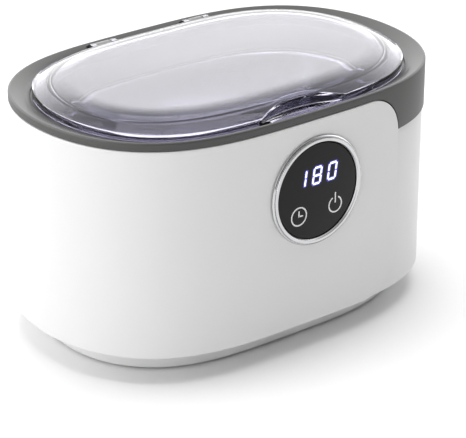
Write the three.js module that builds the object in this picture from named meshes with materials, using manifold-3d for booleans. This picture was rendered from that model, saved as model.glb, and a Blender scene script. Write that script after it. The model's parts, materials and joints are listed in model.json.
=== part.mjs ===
// Household ultrasonic cleaner: an oval benchtop bath for jewellery. It has a domed see-through lid on
// two rear hinges, an outer panel wrapped round three sides, a round touch panel in front, a steel tank
// with a bonded ultrasonic transducer, and a driver board in the base.
// Millimetres, +Z up, front towards -Y. The origin is under the middle of the body, at foot level.

import * as THREE from 'three';
import { mergeVertices } from 'three/addons/utils/BufferGeometryUtils.js';
import Module from 'manifold-3d';

const wasm = await Module();
wasm.setup();

// ---------------------------------------------------------------- driving dimensions

// Body outline: |x / halfLength|^endPower + |y / halfWidth|^sidePower = 1
const BODY = { halfLength: 102.5, halfWidth: 67.42, endPower: 3.51, sidePower: 2.07 };
const LID = { halfLength: 91, halfWidth: 59.4, wall: 1.8, skirtBottom: 112.9 };
const DOME = { edge: 90.3, edgeZ: 117, run: 16, rise: 5.3, crown: 0.6, thickness: 2.3 };
const RIB = { outer: 84.4, inner: 83.2, bottom: 111, top: 118 };
const GAP = 0.3;
const OUTLINE_STEPS = 48;
const CORE_LENGTH = 50;

const BASE = { halfLength: 89.5, bottom: 1, top: 12.7, wall: 2.2, floorTop: 3.4, chamfer: 1.2 };
const LOWER = { halfLength: 101.5, inner: 98.3, bottom: 13, top: 93.3, flangeTop: 15.4, flangeInner: 80 };
const LAP = { outer: 98.9, inner: 96.9, top: 97.5, bottom: 89 };
const UPPER = { halfLength: 102.2, skirtInner: 99.2, bottom: 93.6, crease: 116.4, seat: 112.5 };
const WELL = { top: 88.4, bottom: 78.6, lipTop: 101.2, lipBottom: 100.4 };
const PANEL = { inner: 100.7, bottom: 13, top: 112.5, edgeX: 53.8, topRadius: 20, bottomRadius: 22 };

const TANK = { rim: 77.6, flange: 84.4, rimTop: 99.2, floorTop: 54.6, sheet: 1.2, draft: 2 };
const GASKET = { inner: 79.2, outer: 84.6, bottom: 99.5, top: 100.1 };

const DIAL = { x: 1.5, z: 78.6, outer: 26.1, bore: 23.1, barrel: 24.7, hole: 25, front: -69.2, back: -58 };
const GLASS = { radius: 22.8, front: -68.2, back: -66.5 };
const MODULE = { radius: 22.8, front: -66.2, back: -61.2, boardBack: -59.3 };
const DIGITS = { x: 1.3, z: 86.1, width: 28, height: 12.4 };
const KEY = { spacing: 21.3, z: 68.9, holeRadius: 4.2 };

const HINGE = {
  middle: 4.9, spread: 27.5, y: 61.3, z: 114.7, radius: 2.6, lugWidth: 8, earWidth: 3, pinRadius: 0.8,
};
const HINGE_POCKET = { reach: 8, front: 57.6, back: 64.3, floor: 111.7 };
const LUG_LEG = { reach: 3, depth: 1.2, foot: 107, root: 113 };
const SCOOP = { radius: 58, centreY: -112, floor: 114.4 };
const FINGER_NOTCH = { reach: 25, depth: 5, z: 116.4, y: -56.2 };

const FOOT = { x: 54, y: 39, radius: 6.2, top: 1.9, recess: 2.2 };
const VENT = { count: 6, x: 18, pitch: 6, width: 2.4, halfLength: 16 };
const BASE_SCREW = { x: 68, y: 33, shankHole: 1.8, headHole: 3.2, headSeat: 8 };
const HOUSING_SCREW = { x: 81.5, y: 36.5, shankHole: 1.6, headHole: 2.9, headSeat: 15.3 };

const INLET = { z: 30, face: 69.2, flangeBack: 67.7, back: 50, width: 21.4, height: 12.4, border: 2.2 };
const SOCKET = { pitch: 7.9, radius: 4.2, floor: 57, pinRadius: 1.2, pinTip: 66, pinTail: 45 };

const BOARD = { x0: -62, x1: -25, y0: -40, y1: 34, bottom: 9, top: 10.6 };
const PARTS_ON_BOARD = BOARD.top + GAP;

const corners = [[-1, -1, 'front_left'], [1, -1, 'front_right'], [-1, 1, 'rear_left'], [1, 1, 'rear_right']];
const sides = [[-1, 'left'], [1, 'right']];

// ---------------------------------------------------------------- finishes

const finish = (color, roughness, metalness = 0) => () =>
  new THREE.MeshStandardMaterial({ color, roughness, metalness });

const whitePlastic = finish('#eeeeee', 0.25);
const greyPlastic = finish('#7c7c7a', 0.4);
const paleGreyPlastic = finish('#b9b9b8', 0.4);
const smokePlastic = () => new THREE.MeshStandardMaterial({
  color: '#8c8996', roughness: 0.08, metalness: 0, transparent: true, opacity: 0.35,
});
const blackPlastic = finish('#1b1b1d', 0.45);
const blackGlass = finish('#26272a', 0.08);
const rubber = finish('#2b2b2b', 0.9);
const silicone = finish('#d8d8d4', 0.7);
const steelSheet = finish('#c9cacc', 0.22, 1);
const chrome = finish('#dcdde0', 0.12, 1);
const aluminium = finish('#b4b6b8', 0.4, 1);
const brass = finish('#b89a4e', 0.35, 1);
const ceramic = finish('#c6a98a', 0.6);
const boardGreen = finish('#2f6b45', 0.55);
const ferrite = finish('#3a3a3c', 0.6);
const copper = finish('#a85f35', 0.4, 0.8);
const capacitorYellow = finish('#d9a531', 0.5);
const capacitorBlack = finish('#20242c', 0.4);
const leadRed = finish('#a8322c', 0.5);
const leadGrey = finish('#8b8f94', 0.5);

// ---------------------------------------------------------------- closed-mesh helpers

function signedVolume(geometry) {
  const position = geometry.getAttribute('position');
  const index = geometry.getIndex();
  const [a, b, c] = [new THREE.Vector3(), new THREE.Vector3(), new THREE.Vector3()];
  let sum = 0;
  for (let k = 0; k < index.count; k += 3) {
    a.fromBufferAttribute(position, index.getX(k));
    b.fromBufferAttribute(position, index.getX(k + 1));
    c.fromBufferAttribute(position, index.getX(k + 2));
    sum += a.dot(b.cross(c)) / 6;
  }
  return sum;
}

// One closed skin: shared corners merged, collapsed triangles dropped, faces outward
function weld(source) {
  const bare = source.clone();
  bare.deleteAttribute('normal');
  bare.deleteAttribute('uv');
  const merged = mergeVertices(bare);
  const index = merged.getIndex();
  const kept = [];
  for (let k = 0; k < index.count; k += 3) {
    const [a, b, c] = [index.getX(k), index.getX(k + 1), index.getX(k + 2)];
    if (a !== b && b !== c && c !== a) kept.push(a, b, c);
  }
  merged.setIndex(kept);
  if (signedVolume(merged) < 0) merged.setIndex(kept.reverse());
  return merged;
}

function toSolid(source) {
  const welded = weld(source);
  return new wasm.Manifold(new wasm.Mesh({
    numProp: 3,
    vertProperties: new Float32Array(welded.getAttribute('position').array),
    triVerts: new Uint32Array(welded.getIndex().array),
  }));
}

function toGeometry(solid) {
  const mesh = solid.getMesh();
  const geometry = new THREE.BufferGeometry();
  geometry.setAttribute('position', new THREE.BufferAttribute(mesh.vertProperties, 3));
  geometry.setIndex(new THREE.BufferAttribute(mesh.triVerts, 1));
  return geometry;
}

function cut(body, ...tools) {
  return toGeometry(tools.reduce((left, tool) => left.subtract(toSolid(tool)), toSolid(body)));
}

function join(body, ...others) {
  return toGeometry(others.reduce((sum, other) => sum.add(toSolid(other)), toSolid(body)));
}

function common(a, b) {
  return toGeometry(toSolid(a).intersect(toSolid(b)));
}

// ---------------------------------------------------------------- shape helpers

const block = ([x0, y0, z0], [x1, y1, z1]) =>
  new THREE.BoxGeometry(x1 - x0, y1 - y0, z1 - z0).translate((x0 + x1) / 2, (y0 + y1) / 2, (z0 + z1) / 2);

const lathePoints = (profile) => profile.map(([radius, along]) => new THREE.Vector2(radius, along));

// A profile off the axis goes round to its first point again
const closedProfile = (profile) => (profile[0][0] > 0 ? [...profile, profile[0]] : profile);

// Turned about a line parallel to Y
function turnedY(profile, x, z, steps) {
  return weld(new THREE.LatheGeometry(lathePoints(closedProfile(profile)), steps)).translate(x, 0, z);
}

// Turned about a line parallel to Z
function turnedZ(profile, x, y, steps) {
  const turned = new THREE.LatheGeometry(lathePoints(closedProfile(profile)), steps);
  return weld(turned.rotateX(Math.PI / 2)).translate(x, y, 0);
}

const post = (x, y, radius, z0, z1, steps = 12) =>
  turnedZ([[0, z0], [radius, z0], [radius, z1], [0, z1]], x, y, steps);

const plugY = (x, z, radius, y0, y1, steps = 28) =>
  turnedY([[0, y0], [radius, y0], [radius, y1], [0, y1]], x, z, steps);

function barX(y, z, radius, x0, x1, steps = 14) {
  const bar = new THREE.CylinderGeometry(radius, radius, x1 - x0, steps);
  return bar.rotateZ(Math.PI / 2).translate((x0 + x1) / 2, y, z);
}

// Points [u, v] of |u|^endPower + |v|^sidePower = 1, evenly spaced along the body's perimeter
function evenOutline(count) {
  const fine = 4000;
  const walk = [];
  for (let k = 0; k <= fine; k++) {
    const angle = (2 * Math.PI * k) / fine;
    const [c, s] = [Math.cos(angle), Math.sin(angle)];
    const u = Math.sign(c) * Math.abs(c) ** (2 / BODY.endPower);
    const v = Math.sign(s) * Math.abs(s) ** (2 / BODY.sidePower);
    walk.push(new THREE.Vector2(u * BODY.halfLength, v * BODY.halfWidth));
  }
  const lengths = [0];
  for (let k = 1; k <= fine; k++) lengths.push(lengths[k - 1] + walk[k].distanceTo(walk[k - 1]));
  const outline = [];
  let k = 0;
  for (let step = 0; step < count; step++) {
    const target = (lengths[fine] * step) / count;
    while (lengths[k + 1] < target) k++;
    const share = (target - lengths[k]) / (lengths[k + 1] - lengths[k]);
    const point = walk[k].clone().lerp(walk[k + 1], share);
    outline.push([point.x / BODY.halfLength, point.y / BODY.halfWidth]);
  }
  return outline;
}

const OUTLINE = evenOutline(OUTLINE_STEPS);

// Half-width of the ring whose half-length is given: a constant inset outside the core, in scale inside it
const widthLaw = (spread) => (length) =>
  length > CORE_LENGTH ? length - spread : (length * (CORE_LENGTH - spread)) / CORE_LENGTH;

const BODY_SPREAD = BODY.halfLength - BODY.halfWidth;
const LID_SPREAD = LID.halfLength - LID.halfWidth;
const bodyWidth = widthLaw(BODY_SPREAD);
const lidWidth = widthLaw(LID_SPREAD);

// The upper housing follows the body outside and the lid's opening inside
function housingWidth(length) {
  const [inside, outside] = [LID.halfLength + 0.5, LAP.outer - 0.4];
  const share = THREE.MathUtils.clamp((length - inside) / (outside - inside), 0, 1);
  return length - THREE.MathUtils.lerp(LID_SPREAD, BODY_SPREAD, share);
}

// A profile of [half-length, z] points carried round the oval outline
function ovalLathe(profile, width) {
  const loop = closedProfile(profile);
  const geometry = new THREE.LatheGeometry(lathePoints(loop), OUTLINE_STEPS);
  const position = geometry.getAttribute('position');
  for (let k = 0; k < position.count; k++) {
    const [u, v] = OUTLINE[Math.floor(k / loop.length) % OUTLINE_STEPS];
    const [length, z] = loop[k % loop.length];
    position.setXYZ(k, u * length, v * width(length), z);
  }
  return weld(geometry);
}

// A round lead along a smooth path
function lead(points, radius, steps, ribs = 6) {
  const path = new THREE.CatmullRomCurve3(points.map((point) => new THREE.Vector3(...point)));
  const section = new THREE.Shape();
  for (let k = 0; k < ribs; k++) {
    const angle = (2 * Math.PI * k) / ribs;
    section[k ? 'lineTo' : 'moveTo'](radius * Math.cos(angle), radius * Math.sin(angle));
  }
  return new THREE.ExtrudeGeometry(section, { steps, extrudePath: path, curveSegments: ribs });
}

const model = new THREE.Group();

function add(name, geometry, material) {
  const mesh = new THREE.Mesh(weld(geometry), material());
  mesh.name = name;
  model.add(mesh);
  return mesh;
}

// ---------------------------------------------------------------- wrap-round outer panel

// Side view of the panel: straight to the left, two big rounded corners towards the right end
function panelSilhouette(grow) {
  const [right, top, bottom] = [PANEL.edgeX + grow, PANEL.top + grow, PANEL.bottom - grow];
  const left = -BODY.halfLength - 10;
  const shape = new THREE.Shape();
  shape.moveTo(left, bottom);
  shape.lineTo(right - PANEL.bottomRadius, bottom);
  shape.absarc(right - PANEL.bottomRadius, bottom + PANEL.bottomRadius, PANEL.bottomRadius, -Math.PI / 2, 0);
  shape.absarc(right - PANEL.topRadius, top - PANEL.topRadius, PANEL.topRadius, 0, Math.PI / 2);
  shape.lineTo(left, top);
  const depth = 2 * BODY.halfWidth + 20;
  return new THREE.ExtrudeGeometry(shape, { depth, bevelEnabled: false, curveSegments: 8 })
    .rotateX(Math.PI / 2).translate(0, depth / 2, 0);
}

// The space that the panel takes out of the housings behind it
function panelSeat() {
  const [inner, outer] = [PANEL.inner - GAP, BODY.halfLength + 3];
  const ring = ovalLathe([[inner, 5], [outer, 5], [outer, 120], [inner, 120]], bodyWidth);
  return common(ring, panelSilhouette(GAP));
}

const dialHole = () => plugY(DIAL.x, DIAL.z, DIAL.hole, -BODY.halfWidth - 5, -BODY.halfWidth + 15);

const inletHole = () => block(
  [-INLET.width / 2 - GAP, BODY.halfWidth - 12, INLET.z - INLET.height / 2 - GAP],
  [INLET.width / 2 + GAP, BODY.halfWidth + 5, INLET.z + INLET.height / 2 + GAP],
);

function addWrapPanel() {
  const [outer, edge] = [BODY.halfLength, 0.7];
  const ring = ovalLathe([
    [PANEL.inner, PANEL.bottom], [outer - edge, PANEL.bottom], [outer, PANEL.bottom + edge],
    [outer, PANEL.top - edge], [outer - edge, PANEL.top], [PANEL.inner, PANEL.top],
  ], bodyWidth);
  add('wrap_panel', cut(common(ring, panelSilhouette(0)), dialHole(), inletHole()), whitePlastic);
}

// ---------------------------------------------------------------- base, feet and screws

// A post of the same size at each of the four places
const atCorners = (place, radius, z0, z1, steps = 12) =>
  corners.map(([i, j]) => post(i * place.x, j * place.y, radius, z0, z1, steps));

const peg = (x, y) => join(
  post(x, y, 2.4, BASE.floorTop - 1, BOARD.bottom - GAP, 12),
  post(x, y, 1.2, BASE.floorTop, BOARD.top + 0.8, 10),
);

const boardPegs = [BOARD.x0 + 3, BOARD.x1 - 3]
  .flatMap((x) => [BOARD.y0 + 3, BOARD.y1 - 4].map((y) => [x, y]));

function addBase() {
  const { halfLength, bottom, top, wall, floorTop, chamfer } = BASE;
  const tray = ovalLathe([
    [0, bottom], [halfLength - chamfer, bottom], [halfLength, bottom + chamfer], [halfLength, top],
    [halfLength - wall, top], [halfLength - wall, floorTop], [0, floorTop],
  ], bodyWidth);
  const { shankHole, headHole, headSeat } = BASE_SCREW;
  const columns = atCorners(BASE_SCREW, 4.6, bottom + 1, top);
  const headHoles = atCorners(BASE_SCREW, headHole, -1, headSeat);
  const shankHoles = atCorners(BASE_SCREW, shankHole, headSeat - 3, top + 2);
  const footSeats = atCorners(FOOT, FOOT.radius + GAP, -1, FOOT.recess, 16);
  const vents = Array.from({ length: VENT.count }, (_, k) => {
    const x = VENT.x + VENT.pitch * k;
    return block([x, -VENT.halfLength, -1], [x + VENT.width, VENT.halfLength, floorTop + 2]);
  });
  const body = join(tray, ...columns, ...boardPegs.map(([x, y]) => peg(x, y)));
  add('base_plate', cut(body, ...headHoles, ...shankHoles, ...footSeats, ...vents), paleGreyPlastic);
}

function addFeet() {
  const { radius, top } = FOOT;
  for (const [i, j, place] of corners) {
    const foot = turnedZ([[0, 0], [radius - 0.8, 0], [radius, 0.8], [radius, top], [0, top]], 0, 0, 16);
    add(`foot_${place}`, foot, rubber).position.set(i * FOOT.x, j * FOOT.y, 0);
  }
}

// A pan-head screw standing point up, its head's lower face at z = 0
const screw = (headRadius, headHeight, shankRadius, length) => turnedZ([
  [0, 0], [headRadius - 0.4, 0], [headRadius, headHeight], [shankRadius, headHeight],
  [shankRadius, length - 1.5], [0, length],
], 0, 0, 10);

function addScrews() {
  for (const [i, j, place] of corners) {
    const baseScrew = add(`base_screw_${place}`, screw(2.8, 2.3, 1.5, 16.6), chrome);
    baseScrew.position.set(i * BASE_SCREW.x, j * BASE_SCREW.y, 5.4);
    const housingScrew = add(`housing_screw_${place}`, screw(2.5, 1.8, 1.3, 15), chrome);
    housingScrew.position.set(i * HOUSING_SCREW.x, j * HOUSING_SCREW.y, 13.2);
  }
}

// ---------------------------------------------------------------- housings

function addLowerHousing() {
  const { halfLength, inner, bottom, top, flangeTop, flangeInner } = LOWER;
  const shell = ovalLathe([
    [flangeInner, bottom], [halfLength - 1.2, bottom], [halfLength, bottom + 1.2], [halfLength, top],
    [LAP.outer, top], [LAP.outer, LAP.top], [LAP.inner, LAP.top], [LAP.inner, LAP.bottom],
    [inner, LAP.bottom - 1.4], [inner, flangeTop], [flangeInner, flangeTop],
  ], bodyWidth);
  const bosses = atCorners(BASE_SCREW, 4, bottom, 26);
  const bossHoles = atCorners(BASE_SCREW, BASE_SCREW.shankHole, 5, 24);
  const pads = atCorners(HOUSING_SCREW, 4.8, bottom, 18);
  const headHoles = atCorners(HOUSING_SCREW, HOUSING_SCREW.headHole, 5, HOUSING_SCREW.headSeat);
  const shankHoles = atCorners(HOUSING_SCREW, HOUSING_SCREW.shankHole, 10, 30);
  const body = join(shell, ...bosses, ...pads);
  const holes = [...bossHoles, ...headHoles, ...shankHoles, panelSeat(), dialHole(), inletHole()];
  add('lower_housing', cut(body, ...holes), whitePlastic);
}

const hingeX = (side) => HINGE.middle + side * HINGE.spread;

// Under the lid's finger tab, a shallow notch lets a fingertip in
function fingerNotch() {
  const { reach, depth, y, z } = FINGER_NOTCH;
  const round = new THREE.CylinderGeometry(1, 1, 10, 32).rotateX(Math.PI / 2);
  return round.scale(reach, depth, 1).translate(0, y, z);
}

function hingePocket(side) {
  const { reach, front, back, floor } = HINGE_POCKET;
  return block([hingeX(side) - reach, front, floor], [hingeX(side) + reach, back, DOME.edgeZ + 3]);
}

function lugSlot(side) {
  const [acrossX, acrossY] = [LUG_LEG.reach + GAP, LUG_LEG.depth + GAP];
  return block(
    [hingeX(side) - acrossX, HINGE.y - acrossY, LUG_LEG.foot - 2],
    [hingeX(side) + acrossX, HINGE.y + acrossY, LUG_LEG.root + 2],
  );
}

function addUpperHousing() {
  const { halfLength, skirtInner, bottom, crease, seat } = UPPER;
  const shell = ovalLathe([
    [halfLength, bottom], [halfLength, crease - 0.8], [101.5, crease], [100.3, 116.2], [97.4, 115],
    [94.6, 113.9], [91.9, 113.2], [91.9, seat], [WELL.top, seat], [WELL.bottom, WELL.lipTop],
    [WELL.bottom, WELL.lipBottom], [85, WELL.lipBottom], [85, 104], [90.4, 110.1], [93.5, 110.6],
    [skirtInner, 113], [skirtInner, bottom],
  ], housingWidth);
  const posts = atCorners(HOUSING_SCREW, 3, 18.3, 111.4);
  const pilots = atCorners(HOUSING_SCREW, HOUSING_SCREW.shankHole, 10, 32, 10);
  const pockets = sides.flatMap(([side]) => [hingePocket(side), lugSlot(side)]);
  const body = join(shell, ...posts);
  add('upper_housing', cut(body, ...pilots, panelSeat(), dialHole(), fingerNotch(), ...pockets), greyPlastic);
}

// ---------------------------------------------------------------- lid and hinges

function lidEar(side, inward) {
  const inner = hingeX(side) + inward * (HINGE.lugWidth / 2 + GAP);
  const [x0, x1] = [inner, inner + inward * HINGE.earWidth].sort((a, b) => a - b);
  const eye = barX(HINGE.y, HINGE.z, HINGE.radius, x0, x1);
  const web = block([x0, HINGE.y - 4, LID.skirtBottom], [x1, HINGE.y, HINGE.z + HINGE.radius - 0.4]);
  return join(eye, web);
}

// The dome's slope from its edge inwards, moved in and down by the given amounts
const slope = (inward, down) => [0, 2, 4, 6.5, 9.5, 12.5, DOME.run].map((run) => [
  DOME.edge - inward - run,
  DOME.edgeZ - down + DOME.rise * (1 - (1 - run / DOME.run) ** 2),
]);

// The finger scoop: the round space in front of its upright wall, set back by the given amount
const scoopSpace = (setBack, z0) =>
  post(0, SCOOP.centreY, SCOOP.radius + setBack, z0, DOME.edgeZ + DOME.rise + 5, 120);

// A solid filling the lid's outline up to a line of [half-length, z] points, and to a height in its middle
const domeOver = (line, bottom, middle) =>
  ovalLathe([[0, bottom], [line[0][0], bottom], ...line, [0, middle]], lidWidth);

function addLid() {
  const { halfLength: outer, wall, skirtBottom } = LID;
  const { edgeZ, rise, crown, thickness } = DOME;
  const top = edgeZ + rise + crown;
  const skin = domeOver([[outer, edgeZ - 0.7], [outer - 0.3, edgeZ - 0.2], ...slope(0, 0)], skirtBottom, top);
  const space = domeOver(
    [[outer - wall, edgeZ - thickness], ...slope(1, thickness).slice(1)], skirtBottom - 10, top - thickness,
  );
  const outside = cut(skin, scoopSpace(0, SCOOP.floor));
  const inside = cut(space, scoopSpace(wall, skirtBottom - 11));
  const rib = cut(
    domeOver([[RIB.outer, RIB.top]], RIB.bottom, RIB.top),
    domeOver([[RIB.inner, RIB.top + 1]], RIB.bottom - 1, RIB.top + 1),
  );
  const ears = sides.flatMap(([side]) => [lidEar(side, -1), lidEar(side, 1)]);
  const pinHoles = sides.map(([side]) =>
    barX(HINGE.y, HINGE.z, HINGE.pinRadius + GAP, hingeX(side) - 9, hingeX(side) + 9, 12));
  const lugNotches = sides.map(([side]) => block(
    [hingeX(side) - HINGE.lugWidth / 2 - GAP, HINGE.y - HINGE.radius - GAP, skirtBottom - 5],
    [hingeX(side) + HINGE.lugWidth / 2 + GAP, HINGE.y + 10, edgeZ + 3],
  ));
  const body = join(cut(outside, inside), rib, ...ears);
  add('lid', cut(body, ...pinHoles, ...lugNotches), smokePlastic);
}

function addHinges() {
  const half = HINGE.lugWidth / 2;
  const { reach: leg, depth, foot, root } = LUG_LEG;
  for (const [side, place] of sides) {
    const lug = join(
      barX(HINGE.y, HINGE.z, HINGE.radius, -half, half),
      block([-half, HINGE.y - HINGE.radius, 112], [half, HINGE.y + HINGE.radius, HINGE.z]),
      block([-leg, HINGE.y - depth, foot], [leg, HINGE.y + depth, root]),
    );
    const bore = barX(HINGE.y, HINGE.z, HINGE.pinRadius + GAP, -half - 1, half + 1, 12);
    add(`hinge_lug_${place}`, cut(lug, bore), paleGreyPlastic).position.x = hingeX(side);
    const reach = half + HINGE.earWidth;
    const pin = barX(HINGE.y, HINGE.z, HINGE.pinRadius, -reach, reach, 12);
    add(`hinge_pin_${place}`, pin, chrome).position.x = hingeX(side);
  }
}

// ---------------------------------------------------------------- tank and transducer

function addTank() {
  const { rim, flange, rimTop, floorTop, sheet, draft } = TANK;
  add('tank', ovalLathe([
    [0, floorTop - sheet], [69.4, floorTop - 0.7], [74.2, 56], [76, 61.6], [rim + sheet - 0.2, rimTop - 3],
    [rim + sheet + 0.6, rimTop - sheet], [flange, rimTop - sheet], [flange, rimTop], [rim + 0.8, rimTop],
    [rim, rimTop - 0.9], [rim - draft, 68], [rim - draft - 0.8, 62], [rim - draft - 2.4, 57.4],
    [69, floorTop + 0.6], [0, floorTop],
  ], lidWidth), steelSheet);
  const { inner, outer, bottom, top } = GASKET;
  const seal = ovalLathe([[inner, bottom], [outer, bottom], [outer, top], [inner, top]], lidWidth);
  add('tank_gasket', seal, silicone);
}

// Electrode washer with a solder tab on the left, towards the given side
const electrode = (z0, z1, towards) => cut(
  join(post(0, 0, 14.6, z0, z1, 24), block([-20, towards * 7 - 2.5, z0], [-9, towards * 7 + 2.5, z1])),
  post(0, 0, 4.5, z0 - 1, z1 + 1),
);

// A sandwich transducer hanging from the tank floor: bell, two ceramic rings, tail mass and clamping bolt
function addTransducer() {
  const ring = (z0, z1, inner, outer) =>
    turnedZ([[inner, z0], [outer, z0], [outer, z1], [inner, z1]], 0, 0, 24);
  const top = TANK.floorTop - TANK.sheet - GAP;
  add('transducer_front_mass', turnedZ([
    [0, 45], [3.4, 45], [3.4, 34], [14.8, 34], [15.4, 38], [19, 48], [19, top], [0, top],
  ], 0, 0, 24), aluminium);
  add('piezo_ring_upper', ring(29.9, 33.7, 6, 15), ceramic);
  add('electrode_upper', electrode(29.1, 29.6, 1), brass);
  add('piezo_ring_lower', ring(25, 28.8, 6, 15), ceramic);
  add('electrode_lower', electrode(24.2, 24.7, -1), brass);
  add('transducer_back_mass', turnedZ([
    [3.4, 10], [13.6, 10], [15, 11.4], [15, 23.9], [3.4, 23.9],
  ], 0, 0, 24), steelSheet);
  add('transducer_bolt', turnedZ([
    [0, 7], [2.4, 7], [2.4, 5], [4.9, 5], [4.9, 9.7], [3, 9.7], [3, 44], [0, 44],
  ], 0, 0, 12), chrome);
}

// ---------------------------------------------------------------- touch panel

function addTouchPanel() {
  const { outer, bore, barrel, front, back } = DIAL;
  const face = (profile, steps = 40) => turnedY(profile, DIAL.x, DIAL.z, steps);
  const disc = (radius, y0, y1, steps = 32) => face([[0, y0], [radius, y0], [radius, y1], [0, y1]], steps);
  add('bezel_ring', face([
    [bore, front + 0.8], [bore + 0.7, front], [outer - 0.9, front], [outer, front + 0.8],
    [outer, -BODY.halfWidth - GAP], [barrel, -BODY.halfWidth - GAP], [barrel, back], [bore, back],
  ]), chrome);
  add('display_glass', disc(GLASS.radius, GLASS.front, GLASS.back), blackGlass);

  const window = (grow) => [
    [DIGITS.x - DIGITS.width / 2 - grow, DIGITS.z - DIGITS.height / 2 - grow],
    [DIGITS.x + DIGITS.width / 2 + grow, DIGITS.z + DIGITS.height / 2 + grow],
  ];
  const windowBlock = (grow, y0, y1) => {
    const [[x0, z0], [x1, z1]] = window(grow);
    return block([x0, y0, z0], [x1, y1, z1]);
  };
  const keyX = (side) => DIAL.x + (side * KEY.spacing) / 2;
  const keyHoles = sides.map(([side]) => plugY(keyX(side), KEY.z, KEY.holeRadius, -70, -55, 16));
  const frame = disc(MODULE.radius, MODULE.front, MODULE.back);
  add('display_frame', cut(frame, windowBlock(GAP, -70, -55), ...keyHoles), blackPlastic);
  add('led_display', windowBlock(0, MODULE.front + 0.2, MODULE.back - 0.2), blackPlastic);
  add('touch_board', disc(MODULE.radius - 0.3, MODULE.back + GAP, MODULE.boardBack), boardGreen);
  for (const [side, place] of sides) {
    add(`touch_spring_${place}`, keySpring(), chrome).position.set(keyX(side), 0, KEY.z);
  }
}

// The coil spring that carries a touch key's field to the glass
function keySpring() {
  const [turns, radius, wire, perTurn] = [3, 3, 0.4, 8];
  const [y0, y1] = [MODULE.front + 0.6, MODULE.back - 0.6];
  const points = [];
  for (let k = 0; k <= turns * perTurn; k++) {
    const angle = (2 * Math.PI * k) / perTurn;
    const y = THREE.MathUtils.lerp(y0, y1, k / (turns * perTurn));
    points.push([radius * Math.cos(angle), y, radius * Math.sin(angle)]);
  }
  return lead(points, wire, turns * perTurn, 4);
}

// ---------------------------------------------------------------- power inlet

// The socket's mouth: two round ends joined straight across
const socketMouth = (y0, y1) => join(
  plugY(-SOCKET.pitch / 2, INLET.z, SOCKET.radius, y0, y1, 20),
  plugY(SOCKET.pitch / 2, INLET.z, SOCKET.radius, y0, y1, 20),
  block([-SOCKET.pitch / 2, y0, INLET.z - SOCKET.radius], [SOCKET.pitch / 2, y1, INLET.z + SOCKET.radius]),
);

function addPowerInlet() {
  const { z, face, flangeBack, back, width, height, border } = INLET;
  const upright = (grow, y0, y1) => block(
    [-width / 2 - grow, y0, z - height / 2 - grow], [width / 2 + grow, y1, z + height / 2 + grow],
  );
  const body = upright(0, back, face - 0.5);
  const pinHoles = sides.map(([side]) =>
    plugY((side * SOCKET.pitch) / 2, z, SOCKET.pinRadius + GAP, back - 1, SOCKET.floor + 1, 12));
  const shell = join(body, upright(border, flangeBack, face));
  add('power_inlet', cut(shell, socketMouth(SOCKET.floor, face + 1), ...pinHoles), blackPlastic);
  for (const [side, place] of sides) {
    const pin = plugY((side * SOCKET.pitch) / 2, z, SOCKET.pinRadius, SOCKET.pinTail, SOCKET.pinTip, 12);
    add(`inlet_pin_${place}`, pin, chrome);
  }
}

// ---------------------------------------------------------------- driver board

function addTransformer(x, y) {
  const z = PARTS_ON_BOARD;
  const core = block([x - 12, y - 4, z], [x + 12, y + 4, z + 18]);
  const windows = [x - 5.5, x + 5.5].map((middle) =>
    block([middle - 2.5, y - 9, z + 3.6], [middle + 2.5, y + 9, z + 14.5]));
  add('transformer_core', cut(core, ...windows), ferrite);
  const coil = block([x - 7.7, y - 8, z + 3.9], [x + 7.7, y + 8, z + 14.2]);
  const leg = block([x - 3 - GAP, y - 4 - GAP, z], [x + 3 + GAP, y + 4 + GAP, z + 20]);
  add('transformer_winding', cut(coil, leg), copper);
}

function addHeatSink(x0, y0) {
  const [width, depth, fins, fin] = [13.5, 14, 5, 1.5];
  const pitch = (width - fin) / (fins - 1);
  const shape = new THREE.Shape();
  shape.moveTo(x0, y0 + depth);
  for (let k = 0; k < fins; k++) {
    const x = x0 + k * pitch;
    shape.lineTo(x, y0);
    shape.lineTo(x + fin, y0);
    if (k < fins - 1) shape.lineTo(x + fin, y0 + depth - 2).lineTo(x + pitch, y0 + depth - 2);
  }
  shape.lineTo(x0 + width, y0 + depth);
  const extrusion = new THREE.ExtrudeGeometry(shape, { depth: 20, bevelEnabled: false });
  add('heat_sink', extrusion.translate(0, 0, PARTS_ON_BOARD), aluminium);
}

function addDriverBoard() {
  const { x0, x1, y0, y1, bottom, top } = BOARD;
  const holes = boardPegs.map(([x, y]) => post(x, y, 1.2 + GAP, 5, 20, 10));
  add('driver_board', cut(block([x0, y0, bottom], [x1, y1, top]), ...holes), boardGreen);

  const z = PARTS_ON_BOARD;
  const seated = (x, y, width, depth, height) =>
    block([x - width / 2, y - depth / 2, z], [x + width / 2, y + depth / 2, z + height]);
  addTransformer(-40, 14);
  addHeatSink(-41.5, -31);
  add('power_transistor', seated(-35, -14.9, 10, 3.6, 15), blackPlastic);
  add('tuning_inductor', turnedZ([
    [4, z + 1.5], [5.5, z], [7, z], [8.5, z + 1.5], [8.5, z + 6.5], [7, z + 8], [5.5, z + 8], [4, z + 6.5],
  ], -52, -5.5, 16), copper);
  add('bulk_capacitor', turnedZ([
    [0, z], [6, z], [6.5, z + 0.5], [6.5, z + 21.5], [6, z + 22], [0, z + 22],
  ], -33, -6, 16), capacitorBlack);
  add('film_capacitor_1', seated(-52, -19.5, 16, 6.5, 12), capacitorYellow);
  add('film_capacitor_2', seated(-52, -27.5, 16, 6.5, 12), capacitorYellow);
  add('bridge_rectifier', seated(-50, 26.5, 12, 4, 10), blackPlastic);
  add('fuse', plugY(-58.5, z + 2.7, 2.5, 5, 23, 12), silicone);
  add('mains_header', seated(-36, 27.5, 8, 6, 7), whitePlastic);
  add('display_header', seated(-48, -36.8, 10, 4, 6), whitePlastic);
}

// ---------------------------------------------------------------- internal wiring

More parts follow.
